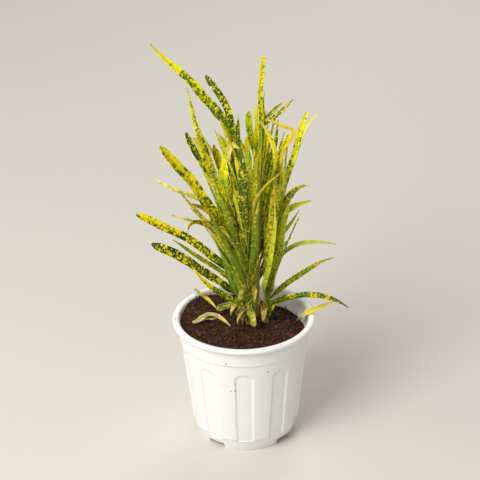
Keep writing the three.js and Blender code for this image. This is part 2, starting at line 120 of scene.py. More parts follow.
# Stems and leaves
PLANT_AXIS = (12, 14)
STEM_FOOT_HEIGHT = 100
STEM_BEND_HEIGHT = 142
STEM_FOOT_RADIUS = 3.8
STEM_TOP_RADIUS = 2.2
STEM_STEPS = 16
SCAR_SPACING = 8.5
BLADE = 0.8
BLADE_SHEET = 0.55
FOLD = 0.3
PETIOLE = 2.6
BLADE_START = 0.05
BLADE_RISE = 0.18
BLADE_FALL = 0.5
TIP_ROUNDING = 3.2
POINT_ROUNDING = 1.5
EASE = 1.4
WALL_MARGIN = 0.5
WALL_SOFTNESS = 2
LEAF_STEPS = 24
ACROSS = 8
ALONG = 60
WAVE_HEIGHT = 0.9
WAVE_LENGTHS = (20, 38)
LEAF_TWIST = 22
SWAY = 0.9
SWAY_LENGTH = 75
RIB_GROOVE = 0.3
RIB_WIDTH = 0.7

LOWEST_ROOT = 148
BARE_TOP = 25
LOW_CROWDING = 1.4
GOLDEN_ANGLE = 137.5
FAN = 140
CROWD_SWEEP = (-30, 30)
CROWD_PITCH = (70, 86)
CROWD_BEND = (-12, 6)
CROWD_WIDTH = (6, 9)
CROWD_ROLL = (-45, 45)
CROWD_LEAST_LENGTH = 70
CROWD_LEAN = 8
BLUNT_SHARE = 0.4
CLIMB_SHARE = 0.55
LOW_LEAVES = 200
INFILL = 32
INFILL_BARE_TOP = 12
INFILL_LEAST_LENGTH = 45
INFILL_RISE = (60, 150)
INFILL_WIDTH = (3.2, 6)

# Tips: least width there, and how late the blade narrows
POINTED = (0.8, 1.8)
BLUNT = (4, 13)
BROAD = (1.2, 5)
SQUARE = (2, 5)

# A leaf: height of its root on the stem, heading and how far it swings, pitch at root and tip, length, width,
# roll, look, tip and how late it bends. A stem: name, heading where its quarter of the plant starts, foot,
# top, seed, heights of its crowd's tips, how many leaves crowd it, those of them left out, and its leaves
Leaf = namedtuple("Leaf", "root heading sweep pitch tip_pitch length width roll look tip curl",
                  defaults=(POINTED, EASE))
Stem = namedtuple("Stem", "name quarter foot top seed tips crowd left_out leaves")

# Looks of a leaf: how lime its green is, how much gold spots it, how much more gold at its tip and margins,
# how warm the gold is (below 0 it is lime), how dried the leaf is, how pale (below 0 only its tip is), and
# how many dark flecks it has
LOOKS = {
    "dark": (0.02, 0.5, -0.05, 0, 0, 0, 0, 0.2),
    "dark_tipped": (0.04, 0.48, 0.5, 0, 0.05, 0, 0, 0.2),
    "green": (0.25, 0.5, 0.15, 0.2, -0.2, 0, 0, 0.4),
    "spotted": (0.4, 0.58, 0.3, 0.2, -0.1, 0, 0, 0.6),
    "blotched": (0.08, 0.6, 0.45, 0.1, 0, 0, 0, 0.3),
    "lime": (0.9, 0.62, 0.2, 0.3, -0.5, 0, 0, 0.45),
    "pale_lime": (0.85, 0.6, 0.2, 0.3, -0.4, 0, 0.35, 0.4),
    "limed": (0.1, 0.5, 0.62, 0.2, -0.3, 0, 0, 0.4),
    "flecked": (0.8, 0.95, 0.3, 0.2, -0.3, 0, 0, 0.75),
    "yellow": (0.85, 1.0, 0.3, 0.5, -0.1, 0, 0, 0.55),
    "edged": (0.25, 0.5, 0.3, 1.0, -0.3, 0, 0.1, 0.5),
    "plain_olive": (0.5, 0.24, 0.3, 0.1, 0.1, 0, 0, 0.5),
    "olive": (0.42, 0.44, 0.1, 0.1, 0.2, 0.0, 0, 0.5),
    "mottled": (0.22, 0.66, 0.1, 0.1, 0.4, 0.0, 0, 0.7),
    "brown": (0.5, 0.7, 0.2, 0, 0.8, 0.55, 0, 0.2),
    "golden": (0.9, 1.3, 0, 0, 0.5, 0.05, 0, 0),
    "straw": (0.9, 1.2, 0, 0, 0.3, 0.1, 0.2, 0),
    "grey": (0.3, 0.3, 0.35, 0.2, 0, 0, 0.55, 0.3),
    "cream": (0.85, 0.7, 0.2, 0.3, 0.05, 0.1, 0.5, 0.35),
    "cream_tipped": (0.8, 0.6, 0.4, 0.3, -0.3, 0, -0.9, 0.7),
    "lime_cream_tipped": (0.8, 0.45, 0.5, 0.2, -0.2, 0, -1.2, 0.2),
    "torn": (0.5, 0.35, 0, 0, 0.1, 0.35, 0.4, 0.15),
    "teal": (0.05, 0.34, 0, 0.3, 0, 0, 0.12, 0.1),
    "dried": (0.8, 0.6, -0.2, 0.2, 0.1, 0.12, 0.95, 0.05),
    "dried_green": (0.7, 0.8, -0.4, 0.3, 0, 0.1, 0.4, 0.15),
    "husk": (0.5, 0.4, 0, 0.2, 0.1, 0.3, 0.3, 0.25),
    "mustard": (0.5, 0.75, 0.2, 0.1, 0.1, 0.12, 0.05, 0.4),
    "fallen_yellow": (0.9, 1.25, 0.2, 0.3, -0.25, 0.0, 0.18, 0.1),
}
CROWD_LOOKS = {
    "low": ["plain_olive", "mottled", "green", "plain_olive", "mottled", "lime"],
    "high": ["lime", "flecked", "yellow", "green", "flecked", "yellow", "blotched", "lime"],
}

STEMS = [
    Stem("leafy_stem_left", 110, (-3, 21), (0, 26, 345), 11, (270, 385), 11, (), [
        (156, 196, -15, 46, 29, 127, 10, -55, "dark", BLUNT),
        (179, 176, 11, 45, 24, 142, 9, -50, "dark_tipped", BLUNT),
        (169, 161, 5, 35, 27, 93, 6, -40, "olive"),
        (251, 185, -45, 35, 4, 114, 5, -40, "grey"),
        (228, 190, -6, 70, 79, 197, 9, 65, "edged"),
        (246, 181, 45, 62, 77, 124, 8, 60, "blotched", BLUNT),
        (254, 172, -11, 54, 68, 116, 7, -50, "dark", BLUNT),
        (318, 181, -60, 86, 28, 112, 7, -50, "dark", BLUNT, 2),
        (230, 156, 3, 11, 9, 84, 4, -30, "olive"),
        (151, 194, 0, -13, -10, 29, 8, -35, "teal", BLUNT),
        (150, 225, 0, 10, -80, 22, 5, 0, "torn", POINTED, 1),
        (150, 205, -15, 72, 82, 118, 8, 75, "plain_olive", BLUNT),
    ]),
    Stem("leafy_stem_front", 200, (8, 5), (12, -12, 300), 23, (280, 400), 9, (), [
        (154, 219, -40, 33, 58, 100, 7, -60, "blotched"),
        (209, 197, 9, 62, 53, 193, 11, -75, "blotched", BLUNT),
        (246, 206, 8, 41, 38, 101, 7, -65, "mottled"),
        (227, 228, -24, 38, 55, 116, 7, 60, "mottled"),
        (298, 248, -101, 89, 34, 226, 11, -45, "limed", POINTED, 0.74),
        (217, 250, 38, 63, 82, 150, 11, 12, "dark", BLUNT),
        (175, 153, -37, 72, 260, 217, 10, -75, "lime_cream_tipped", BROAD, 5.7),
        (246, 274, 92, 67, 18, 148, 2.4, -30, "straw", POINTED, 2.1),
        (211, 209, 100, 50, -89, 135, 6, -50, "mottled", POINTED, 5.6),
        (152, 222, 0, 20, -80, 28, 6, 20, "torn", POINTED, 1),
        (150, 280, 0, 10, -80, 24, 6, 20, "husk", BLUNT, 1),
        (177, 230, -8, 46, -69, 27, 6, 15, "torn", POINTED, 1),
        (185, 290, -40, 22, -83, 32, 5, -30, "torn"),
        (152, 212, 8, 66, 78, 116, 8, 50, "plain_olive", BLUNT),
        (150, 288, -8, 83, 86, 120, 8, 0, "olive"),
    ]),
    Stem("leafy_stem_right", 290, (24, 14), (42, 4, 300), 37, (260, 365), 11, (4, 5, 7, 10), [
        (235, 369, -10, 81, 48, 164, 7, 60, "cream_tipped", POINTED, 2.3),
        (234, 330, 60, 89, 67, 155, 6, 65, "flecked", BLUNT, 0.57),
        (223, 337, -34, 87, 23, 116, 8, -60, "mottled"),
        (228, 341, 45, 89, -6, 77, 8, 50, "yellow"),
        (150, 304, 45, 74, 79, 138, 7, -65, "lime", BLUNT),
        (160, 253, 23, 48, 88, 167, 7, -40, "lime"),
        (200, 290, 45, 60, 46, 61, 5, -50, "olive"),
        (194, 335, 31, 75, -22, 95, 5, 45, "pale_lime", POINTED, 1),
        (156, 370, -15, 43, 19, 92, 6, 30, "olive"),
        (152, 332, 51, 31, -52, 106, 7, 35, "dark", POINTED, 1.7),
        (150, 364, 5, 23, -9, 49, 6, 40, "green"),
        (150, 250, 0, 10, -85, 24, 7, 0, "torn", POINTED, 1),
        (150, 268, 20, 82, 87, 122, 7, -40, "lime"),
        (235, 289, 30, 80, 175, 161, 6, -25, "yellow", POINTED, 3),
        (234, 348, 60, 89, 59, 128, 6, 60, "flecked", BLUNT, 2.9),
    ]),
    Stem("leafy_stem_back", 20, (14, 31), (24, 42, 364), 53, (280, 378), 11, (0, 10), [
        (310, 150, -45, 65, 89, 63, 7, -30, "lime", BLUNT),
        (310, 124, -40, 74, 89, 54, 6, -10, "yellow"),
        (300, 62, -10, 89, 83, 138, 5, 45, "flecked", BLUNT),
        (361, 24, 0, 42, 28, 33, 4, 50, "olive"),
        (357, 5, 0, 36, 47, 46, 4, 60, "mottled"),
        (221, 41, 100, 68, 68, 130, 7, 20, "spotted"),
        (221, 14, 4, 75, 77, 131, 7, 50, "green"),
        (195, 11, 14, 44, 56, 76, 5, 35, "grey"),
        (175, 75, 10, 76, 56, 110, 8, 20, "green", BLUNT),
        (190, 110, -15, 80, 58, 116, 8, -20, "spotted"),
        (165, 45, 20, 62, 30, 85, 8, 10, "mottled", BLUNT),
    ]),
]

# A bent golden leaf that hangs from the top, and torn leaf bases and bits round the stems' feet, by stem:
# look, width, roll, how far the edges curl up, points, and its tip where it isn't pointed
SHREDS = {
    "leafy_stem_back": [
        ("golden", 4.5, 10, 0.35, [(25.3, 42, 363.9), (31.8, 40, 363.5), (44.5, 32, 361.4),
         (57, 20, 358.9), (52.3, 8, 353.3), (45.6, 2, 344.5), (44.2, -2, 328.5), (46, -6, 313.5)]),
        ("plain_olive", 6.5, 0, 0.3, [(14, 26.5, 133), (14.3, 26.5, 150), (15, 27, 175), (16, 28, 200),
         (17.5, 30, 238)], SQUARE),
    ],
    "leafy_stem_front": [
        ("torn", 5, 0, 0.5, [(-0.7, 5, 157.7), (-4.7, 3, 153.1), (-7.2, 4, 146.2), (-5.8, 9, 136.9)]),
        ("torn", 5.5, 10, 0.4, [(2.6, 1, 158.5), (-0.6, -1, 153.4), (-2.2, 0, 143.9), (-1.4, 1, 133.6)]),
        ("husk", 8, 5, 0.3, [(9.4, 0, 164), (7.2, -1.5, 156), (7.5, -2.5, 145), (8.5, -1.5, 133.5)], SQUARE),
        ("grey", 5, 60, 0.4, [(10.7, 0, 174.8), (6.2, -2, 172.2), (1.1, -1, 169.3), (-3.6, 2, 164.5)]),
        ("yellow", 4, 50, 0.3, [(14, 2, 170.1), (9.5, -1, 171.5), (4.6, -2, 174.8), (0.1, 1, 172)]),
        ("cream", 4, 20, 0.5, [(12.2, 1, 166), (7.7, -1.5, 163.7), (5.1, -2.5, 159.2), (5.4, -2, 152.5)]),
        ("torn", 4, -20, 0.4, [(-0.5, 3, 168.3), (-3.9, 1, 165.1), (-4.9, 1.5, 159.7), (-3.7, 3, 152.5)]),
        ("mottled", 5, 0, 0.4, [(2.5, 0, 148.9), (1.5, -1, 144.3), (2.8, -2, 139.7), (3.6, -2, 133.3)]),
        ("cream", 3, 30, 0.5, [(2.9, 1, 175.1), (5.7, 0, 181.9), (7.6, -1, 188.7), (8.8, -1.5, 194)]),
        ("plain_olive", 6, 0, 0.3, [(12, -1.5, 163), (10.5, -1.2, 153), (9.8, -0.5, 143),
         (9.5, 0.5, 133.5)], SQUARE),
        ("plain_olive", 4.5, 15, 0.3, [(12.5, 1.5, 146), (12.6, -0.5, 165), (13, -3.5, 190),
         (13.4, -6.5, 215), (15, -9, 242)]),
        ("olive", 4.5, -15, 0.3, [(4.4, 2, 150), (4.8, -0.5, 168), (5.6, -3.5, 192), (6, -6.5, 215),
         (4.5, -9, 242)]),
        ("brown", 3.4, 10, 0.3, [(10.2, -3, 174), (10.4, -4.5, 190), (10.8, -6.5, 208), (11.2, -9.5, 230)]),
    ],
    "leafy_stem_right": [
        ("husk", 7, 0, 0.3, [(16.8, 6, 165.6), (17.9, 5, 157.2), (20.4, 6, 147.6), (23.2, 9, 134)]),
        ("olive", 5, 10, 0.4, [(20.5, 6, 156.6), (24.4, 6, 151.4), (27.7, 7, 145.6), (28.2, 9, 136.3)]),
        ("spotted", 6, 30, 0.3, [(27.1, 12, 134.6), (30.6, 12.5, 145), (34.7, 14, 152.4), (39.8, 16, 158.2)]),
    ],
}

# Fallen leaves: name, slot and strips, written like the shreds
FALLEN = [
    ("fallen_leaf_curled", "dry_leaf", [
        ("dried_green", 5, 20, 0.7,
         [(-57, -4, 138.6), (-49, 0, 141.2), (-41, 3, 143.6), (-31, 3, 143), (-22, 0, 138.7),
          (-15, -5, 134.7)]),
        ("dried", 4, 50, 0.9,
         [(-55, -4, 139.2), (-47, -1, 142.4), (-40, 1, 146.2), (-33.5, 1, 145.6), (-30, 1, 144.2)]),
        ("dried", 2.5, -30, 0.5, [(-44, -1, 142.8), (-42, -1.5, 146.5), (-38.5, -1, 148)]),
        ("torn", 2.4, 10, 0.4, [(-50, -2, 139.6), (-42, 0, 141.2), (-34, 1, 140.6), (-29, 2, 141.8)]),
    ]),
    ("fallen_leaf_leaning", "yellow_leaf", [
        ("mustard", 6, -15, 0.4,
         [(-56, 58, 146.8), (-50, 52.5, 145.8), (-43, 45, 142.6), (-36, 37, 140), (-31, 30, 138)]),
    ]),
    ("fallen_leaf_rim", "yellow_leaf", [
        ("fallen_yellow", 7, 20, 0.35,
         [(61, 18.6, 126), (64.5, 6, 138), (70.5, 0, 145.8), (79.6, 3.8, 147.4), (92.2, 9.3, 151),
          (105.8, 12.4, 156)]),
    ]),
]

# Lights: name, place and size in metres, watts and colour. All are turned to the middle of the plant
LIT_PLACE = (0, 0, 0.22)
LIGHTS = [
    ("key", (-1.08, -1.38, 1.92), 1.3, 53, "#fffdf9"),
    ("left", (-1.9, -0.35, 0.95), 0.9, 6, "#fffdf9"),
    ("back", (0.5, 1.8, 1.6), 1.0, 14, "#fffcf6"),
]
SKY_STRENGTH = 0.4


def lerp(a, b, share):
    return a + (b - a) * share


def smooth(low, high, value):
    """0 below low, 1 above high, and an even ease between them."""
    share = np.clip((value - low) / (high - low), 0, 1)
    return share * share * (3 - 2 * share)


def make_draw(seed):
    """A repeatable draw between 0 and 1, the same as the one that the solids were made with."""
    state = seed

    def draw():
        nonlocal state
        state = (state * 16807) % 2147483647
        return state / 2147483647

    return draw


# Materials


def linear(code):
    """An sRGB hex colour as linear red, green and blue with full alpha."""
    parts = [int(code[i : i + 2], 16) / 255 for i in (1, 3, 5)]
    return tuple(p / 12.92 if p <= 0.04045 else ((p + 0.055) / 1.055) ** 2.4 for p in parts) + (1,)


def node(tree, kind, links=None, **settings):
    """Adds a shader node with its settings. A link is a value, a node's first output, or (node, output)."""
    made = tree.nodes.new("ShaderNode" + kind)
    for name, value in settings.items():
        setattr(made, name, value)
    for socket, source in (links or {}).items():
        output = 0
        if isinstance(source, tuple) and isinstance(source[0], bpy.types.Node):
            source, output = source
        if isinstance(source, bpy.types.Node):
            tree.links.new(source.outputs[output], made.inputs[socket])
        else:
            made.inputs[socket].default_value = source
    return made


def calc(tree, operation, *values, **settings):
    return node(tree, "Math", dict(enumerate(values)), operation=operation, **settings)


def vector_calc(tree, operation, *values):
    return node(tree, "VectorMath", dict(enumerate(values)), operation=operation)


def ranged(tree, value, low, high, start, end, kind="LINEAR"):
    """Runs from start, where the value is low, to end, where it is high."""
    return node(tree, "MapRange", {0: value, 1: low, 2: high, 3: start, 4: end}, interpolation_type=kind)


def eased(tree, value, low, high, start=0.0, end=1.0):
    return ranged(tree, value, low, high, start, end, "SMOOTHSTEP")


def mixed(tree, share, under, over):
    """A share of one colour over another. Each is a node or an sRGB hex colour."""
    under, over = (linear(colour) if isinstance(colour, str) else colour for colour in (under, over))
    return node(tree, "MixRGB", {0: share, 1: under, 2: over})


def axes(tree, vector):
    split = node(tree, "SeparateXYZ", {0: vector})
    return [(split, axis) for axis in "XYZ"]


def noisy(tree, place, width, detail, on_leaf=False):
    """Noise this many millimetres wide. Places on a leaf are in millimetres, and others in metres."""
    scale = 1 / width if on_leaf else 1000 / width
    links = {"Vector": place, "Scale": scale, "Detail": detail}
    return node(tree, "TexNoise", links, noise_dimensions="2D" if on_leaf else "3D")


def dots(tree, place, width, channel, share, low, high, strength=1.0):
    """Dots on a leaf, one to a cell this many millimetres wide: the larger the share, the larger and more."""
    cells = node(tree, "TexVoronoi", {"Vector": place, "Scale": 1 / width}, voronoi_dimensions="2D")
    own = node(tree, "SeparateColor", {0: (cells, "Color")})
    reach = calc(tree, "MULTIPLY", (own, channel), share)
    return eased(tree, calc(tree, "SUBTRACT", reach, (cells, "Distance")), low, high, 0.0, strength)


def bumped(tree, height, strength, depth):
    """A bump this many millimetres deep."""
    return node(tree, "Bump", {"Height": height, "Strength": strength, "Distance": depth * MM})


def material(name, **sockets):
    """A new material whose shader has these constant values."""
    made = bpy.data.materials.new(name)
    made.use_nodes = True
    shader = made.node_tree.nodes["Principled BSDF"]
    for socket, value in sockets.items():
        shader.inputs[socket.replace("_", " ")].default_value = value
    return made, made.node_tree, shader


def attach(tree, shader, **sources):
    for socket, source in sources.items():
        tree.links.new(source.outputs[0], shader.inputs[socket.replace("_", " ")])


def moulded_polypropylene():
    """Moulded white polypropylene: an even satin with a faint ripple, and dust where soil brushed it."""
    made, tree, shader = material("moulded_polypropylene", IOR=1.49, Specular_IOR_Level=0.5)
    place = (node(tree, "TexCoord"), "Object")
    patch = noisy(tree, place, 24, 3)
    grain = noisy(tree, place, 1.6, 2)
    dusty = calc(tree, "MULTIPLY", eased(tree, patch, 0.5, 0.72), eased(tree, grain, 0.35, 0.7))
    near_rim = ranged(tree, axes(tree, place)[2], 0.118, 0.14, 0.06, 0.5)
    dust = calc(tree, "MULTIPLY", dusty, near_rim)
    colour = mixed(tree, dust, "#f4f4f2", "#b79c7d")
    rough = calc(tree, "ADD", ranged(tree, patch, 0, 1, 0.34, 0.44), dust)
    # The mould's ripple is a tenth of a millimetre deep at most, every 6 mm or so
    bump = bumped(tree, noisy(tree, place, 6, 2), 0.12, 0.6)
    attach(tree, shader, Base_Color=colour, Roughness=rough, Normal=bump)
    return made


def moist_cocopeat():
    """Moist cocopeat mix: matt red-brown crumbs, the drier ones lighter, with dark hollows between."""
    made, tree, shader = material("moist_cocopeat", Specular_IOR_Level=0.25)
    place = (node(tree, "TexCoord"), "Object")
    crumb = node(tree, "Attribute", attribute_name="crumb")
    grain = node(tree, "TexNoise", {"Vector": place, "Scale": 1000 / 1.8, "Detail": 3, "Roughness": 0.65})
    warm = ranged(tree, calc(tree, "ADD", grain, (crumb, "Fac")), 0.35, 1.2, 0, 1)
    damp = ranged(tree, noisy(tree, place, 14, 3), 0.35, 0.65, 0.72, 1.1)
    brown = mixed(tree, warm, "#26120b", "#6d4128")
    shade = node(tree, "MixRGB", {0: 1.0, 1: brown, 2: damp}, blend_type="MULTIPLY")
    bits = node(tree, "TexVoronoi", {"Vector": place, "Scale": 1000 / 2.6})
    own = node(tree, "SeparateColor", {0: (bits, "Color")})
    colour = mixed(tree, eased(tree, (own, "Red"), 0.9, 0.96, 0, 0.28), shade, "#94683f")
    rough = ranged(tree, grain, 0, 1, 0.72, 0.98)
    # Each crumb has smaller ones on it, about 0.9 mm across
    bump = bumped(tree, noisy(tree, place, 0.9, 3), 0.8, 0.9)
    attach(tree, shader, Base_Color=colour, Roughness=rough, Normal=bump)
    return made


def croton_bark():
    """Young croton wood: brown and ringed low down, still green where the leaves are dense."""
    made, tree, shader = material("croton_bark", Specular_IOR_Level=0.35)
    place = (node(tree, "TexCoord"), "Object")
    stretch = node(tree, "Mapping", {0: place, "Scale": (1, 1, 0.25)})
    fibre = noisy(tree, stretch, 1.2, 3)
    wood = mixed(tree, fibre, "#8a6a38", "#cfac6c")
    skin = mixed(tree, fibre, "#5f7a26", "#a9b454")
    colour = mixed(tree, eased(tree, axes(tree, place)[2], 0.18, 0.25), wood, skin)
    rough = ranged(tree, fibre, 0, 1, 0.55, 0.8)
    attach(tree, shader, Base_Color=colour, Roughness=rough, Normal=bumped(tree, fibre, 0.5, 0.4))
    return made


def croton_blade(name, green, lime, gold, lime_gold, warm_gold, rib, pale, tan, roughness, fade):
    """A croton leaf's waxy skin: green with gold spots, 2 to 4 mm across, that run together at some tips.
    It reads where on the leaf it is in millimetres, and the leaf's own look."""
    made, tree, shader = material(name, IOR=1.45, Specular_IOR_Level=0.26, Subsurface_Weight=0.06,
                                  Subsurface_Scale=1.5 * MM, Subsurface_Radius=(0.8, 1, 0.25))
    place, share, look, age = [(node(tree, "Attribute", attribute_name="leaf_" + kind), "Vector")
                               for kind in ("place", "share", "look", "age")]
    across_mm, along_mm, gold_margin = axes(tree, place)
    across, along, flecks = axes(tree, share)
    lime_share, gold_share, gold_at_tip = axes(tree, look)
    warmth, dryness, paleness = axes(tree, age)

    # How much gold there is here
    to_tip = eased(tree, along, 0.45, 0.95)
    amount = calc(tree, "MULTIPLY_ADD", gold_at_tip, to_tip, gold_share)
    drift = ranged(tree, noisy(tree, place, 18, 1, True), 0.3, 0.7, 0.55, 1.35)
    from_foot = eased(tree, along, 0.05, 0.3, 0.4)
    golden = calc(tree, "MULTIPLY", amount, calc(tree, "MULTIPLY", drift, from_foot))

    # Spots and specks, each with its own size and a wavering outline
    waver = noisy(tree, place, 2.4, 1, True)
    centred = vector_calc(tree, "SUBTRACT", (waver, "Color"), (0.5, 0.5, 0.5))
    waved = vector_calc(tree, "MULTIPLY_ADD", centred, (2.4, 2.4, 0), place)
    spot = dots(tree, waved, 3.7, "Red", golden, -0.06, 0.08)
    speck = dots(tree, waved, 1.7, "Green", golden, 0.0, 0.15, 0.7)

    # Blotches where spots run together, and gold that follows the margins
    cloud = noisy(tree, waved, 6.5, 2, True)
    blotch = eased(tree, calc(tree, "MULTIPLY_ADD", golden, 0.32, cloud), 0.78, 0.86)
    ragged = calc(tree, "ADD", cloud, calc(tree, "ABSOLUTE", across))
    edging = calc(tree, "MULTIPLY", eased(tree, ragged, 1.2, 1.4), gold_margin)
    spotted = calc(tree, "MAXIMUM", spot, speck)
    gold_here = calc(tree, "MAXIMUM", spotted, calc(tree, "MAXIMUM", blotch, edging))

    # Green to lime, with the gold on it
    mottle = noisy(tree, waved, 5, 3, True)
    mottled = ranged(tree, mottle, 0.3, 0.7, -0.22, 0.22)
    limed = calc(tree, "ADD", mottled, lime_share, use_clamp=True)
    warmed = calc(tree, "ADD", mottled, warmth, use_clamp=True)
    cooled = calc(tree, "SUBTRACT", mottled, warmth, use_clamp=True)
    own_gold = mixed(tree, cooled, mixed(tree, warmed, gold, warm_gold), lime_gold)
    gilded = mixed(tree, gold_here, mixed(tree, limed, green, lime), own_gold)

    # Dark flecks, stretched along the leaf, fewer towards its tip
    laid = vector_calc(tree, "MULTIPLY_ADD", waved, (1, 0.55, 0), (31, 7, 0))
    many = calc(tree, "MULTIPLY", flecks, ranged(tree, to_tip, 0, 1, 1.0, 0.45))
    flecked = mixed(tree, dots(tree, laid, 2.4, "Blue", many, 0.0, 0.16, 0.9), gilded, green)

    # The midrib, a pale line that thins to the tip, and side veins every 4 mm
    off_rib = calc(tree, "ABSOLUTE", across_mm)
    rib_edge = calc(tree, "SUBTRACT", ranged(tree, along, 0, 1, 0.75, 0.25), off_rib)
    ribbed = mixed(tree, eased(tree, rib_edge, -0.25, 0.15, 0, 0.5), flecked, rib)
    slant = calc(tree, "MULTIPLY_ADD", off_rib, -1.1, along_mm)
    on_vein = eased(tree, calc(tree, "PINGPONG", slant, 2.0), 0.35, 0.0)
    veined = mixed(tree, calc(tree, "MULTIPLY", on_vein, 0.1), ribbed, rib)

    # Paleness, all over or from the tip, and drying that starts in patches
    from_tip = calc(tree, "MULTIPLY", paleness, eased(tree, along, 0.72, 0.86, 0, -1.0))
    bleach = calc(tree, "MULTIPLY", calc(tree, "MAXIMUM", paleness, from_tip), 0.85, use_clamp=True)
    drying = eased(tree, calc(tree, "ADD", dryness, mottle), 0.62, 1.2, 0, 0.95)
    aged = mixed(tree, drying, mixed(tree, bleach, veined, pale), tan)

    wax = ranged(tree, mottle, 0.3, 0.7, roughness - 0.05, roughness + 0.09)
    rough = calc(tree, "MULTIPLY_ADD", drying, 0.3, wax)
    relief = calc(tree, "MULTIPLY_ADD", on_vein, -0.35, mottle)
    attach(tree, shader, Base_Color=mixed(tree, fade, aged, pale), Roughness=rough,
           Normal=bumped(tree, relief, 0.35, 0.45))
    return made


# Modelling


def deselect_all():
    bpy.ops.object.select_all(action="DESELECT")


def spun(name, outline, steps):
    """An outline of (radius, height) points, extruded one by one and spun round Z into a closed skin."""
    deselect_all()
    bpy.ops.mesh.primitive_plane_add(size=MM)
    piece = bpy.context.object
    piece.name = piece.data.name = name
    bpy.ops.object.mode_set(mode="EDIT")
    bpy.ops.mesh.merge(type="CENTER")
    bpy.ops.transform.translate(value=(outline[0][0] * MM, 0, outline[0][1] * MM))
    for (r0, z0), (r1, z1) in zip(outline, outline[1:]):
        step = ((r1 - r0) * MM, 0, (z1 - z0) * MM)
        bpy.ops.mesh.extrude_region_move(TRANSFORM_OT_translate={"value": step})
    bpy.ops.mesh.select_all(action="SELECT")
    bpy.ops.mesh.spin(steps=steps, angle=2 * math.pi, center=(0, 0, 0), axis=(0, 0, 1))
    bpy.ops.mesh.select_all(action="SELECT")
    bpy.ops.mesh.remove_doubles(threshold=0.01 * MM)
    bpy.ops.mesh.normals_make_consistent(inside=False)
    bpy.ops.object.mode_set(mode="OBJECT")
    return piece


def points_of(piece):
    """The piece's vertices in millimetres, a row each."""
    flat = np.empty(len(piece.data.vertices) * 3)
    piece.data.vertices.foreach_get("co", flat)
    return flat.reshape(-1, 3) / MM


def move_points(piece, points):
    piece.data.vertices.foreach_set("co", (points * MM).ravel())
    piece.data.update()


def write_attribute(piece, name, kind, values):
    """Gives each vertex of the piece its value: kind is FLOAT or FLOAT_VECTOR."""
    made = piece.data.attributes.new(name, kind, "POINT")
    field = "vector" if kind == "FLOAT_VECTOR" else "value"
    made.data.foreach_set(field, np.ascontiguousarray(values, dtype=np.float32).ravel())


def joined(pieces, name):
    deselect_all()
    for piece in pieces:
        piece.select_set(True)
    bpy.context.view_layer.objects.active = pieces[0]
    if len(pieces) > 1:
        bpy.ops.object.join()
    pieces[0].name = pieces[0].data.name = name
    return pieces[0]


def copy_of(template):
    """A copy with its own mesh."""
    made = template.copy()
    made.data = template.data.copy()
    bpy.context.scene.collection.objects.link(made)
    return made


def only(piece):
    deselect_all()
    piece.select_set(True)
    bpy.context.view_layer.objects.active = piece


def smooth_by_angle(piece, degrees):
    only(piece)
    bpy.ops.object.shade_smooth_by_angle(angle=math.radians(degrees))


def dress(piece, cad_node, finish=None):
    """The finished piece stands for its CAD node on the one body, with a finish if one is given."""
    if finish:
        piece.data.materials.clear()
        piece.data.materials.append(finish)
    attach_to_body(piece, "root")
    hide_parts(cad_node)


def around(radius, angle):
    return radius * math.cos(angle), radius * math.sin(angle)


# Pot


def body_radius(height):
    foot = BASE_HEIGHT + SHOULDER
    return lerp(BODY_FOOT_RADIUS, STEP_RADIUS, (height - foot) / (STEP_HEIGHT - STEP_RISE - foot))


def inner_wall():
    """The inner wall from the floor up to the lip, as radii and heights."""
    floor_top = FOOT_HEIGHT + FLOOR
    return [
        (body_radius(floor_top) - BODY_WALL, floor_top),
        (body_radius(BODY_WALL_TOP) - BODY_WALL, BODY_WALL_TOP),
        (COLLAR_RADIUS - WALL, STEP_HEIGHT + STEP_RISE),
        (COLLAR_RADIUS + COLLAR_FLARE - WALL, POT_HEIGHT - LIP_HEIGHT),
        (RIM_RADIUS - LIP_WIDTH, POT_HEIGHT - LIP_HEIGHT / 2),
    ]


def inner_radius(height):
    radii, heights = zip(*inner_wall())
    return np.interp(height, heights, radii)


def rounded(corners, radius, parts=3):
    """An outline with each inner corner rounded off by about this radius."""
    line = [corners[0]]
    for before, corner, after in zip(corners, corners[1:], corners[2:]):
        b, c, a = (np.array(p, float) for p in (before, corner, after))
        start = c + (b - c) * min(0.45, radius / np.linalg.norm(b - c))
        end = c + (a - c) * min(0.45, radius / np.linalg.norm(a - c))
        for k in range(parts + 1):
            t = k / parts
            line.append(tuple((1 - t) ** 2 * start + 2 * t * (1 - t) * c + t * t * end))
    return line + [corners[-1]]


def filled_in(outline, spacing):
    """The outline with points added so that none are further apart than this, where its runs are upright."""
    line = [outline[0]]
    for (r0, z0), (r1, z1) in zip(outline, outline[1:]):
        parts = max(1, math.ceil(abs(z1 - z0) / spacing))
        line += [(lerp(r0, r1, k / parts), lerp(z0, z1, k / parts)) for k in range(1, parts + 1)]
    return line


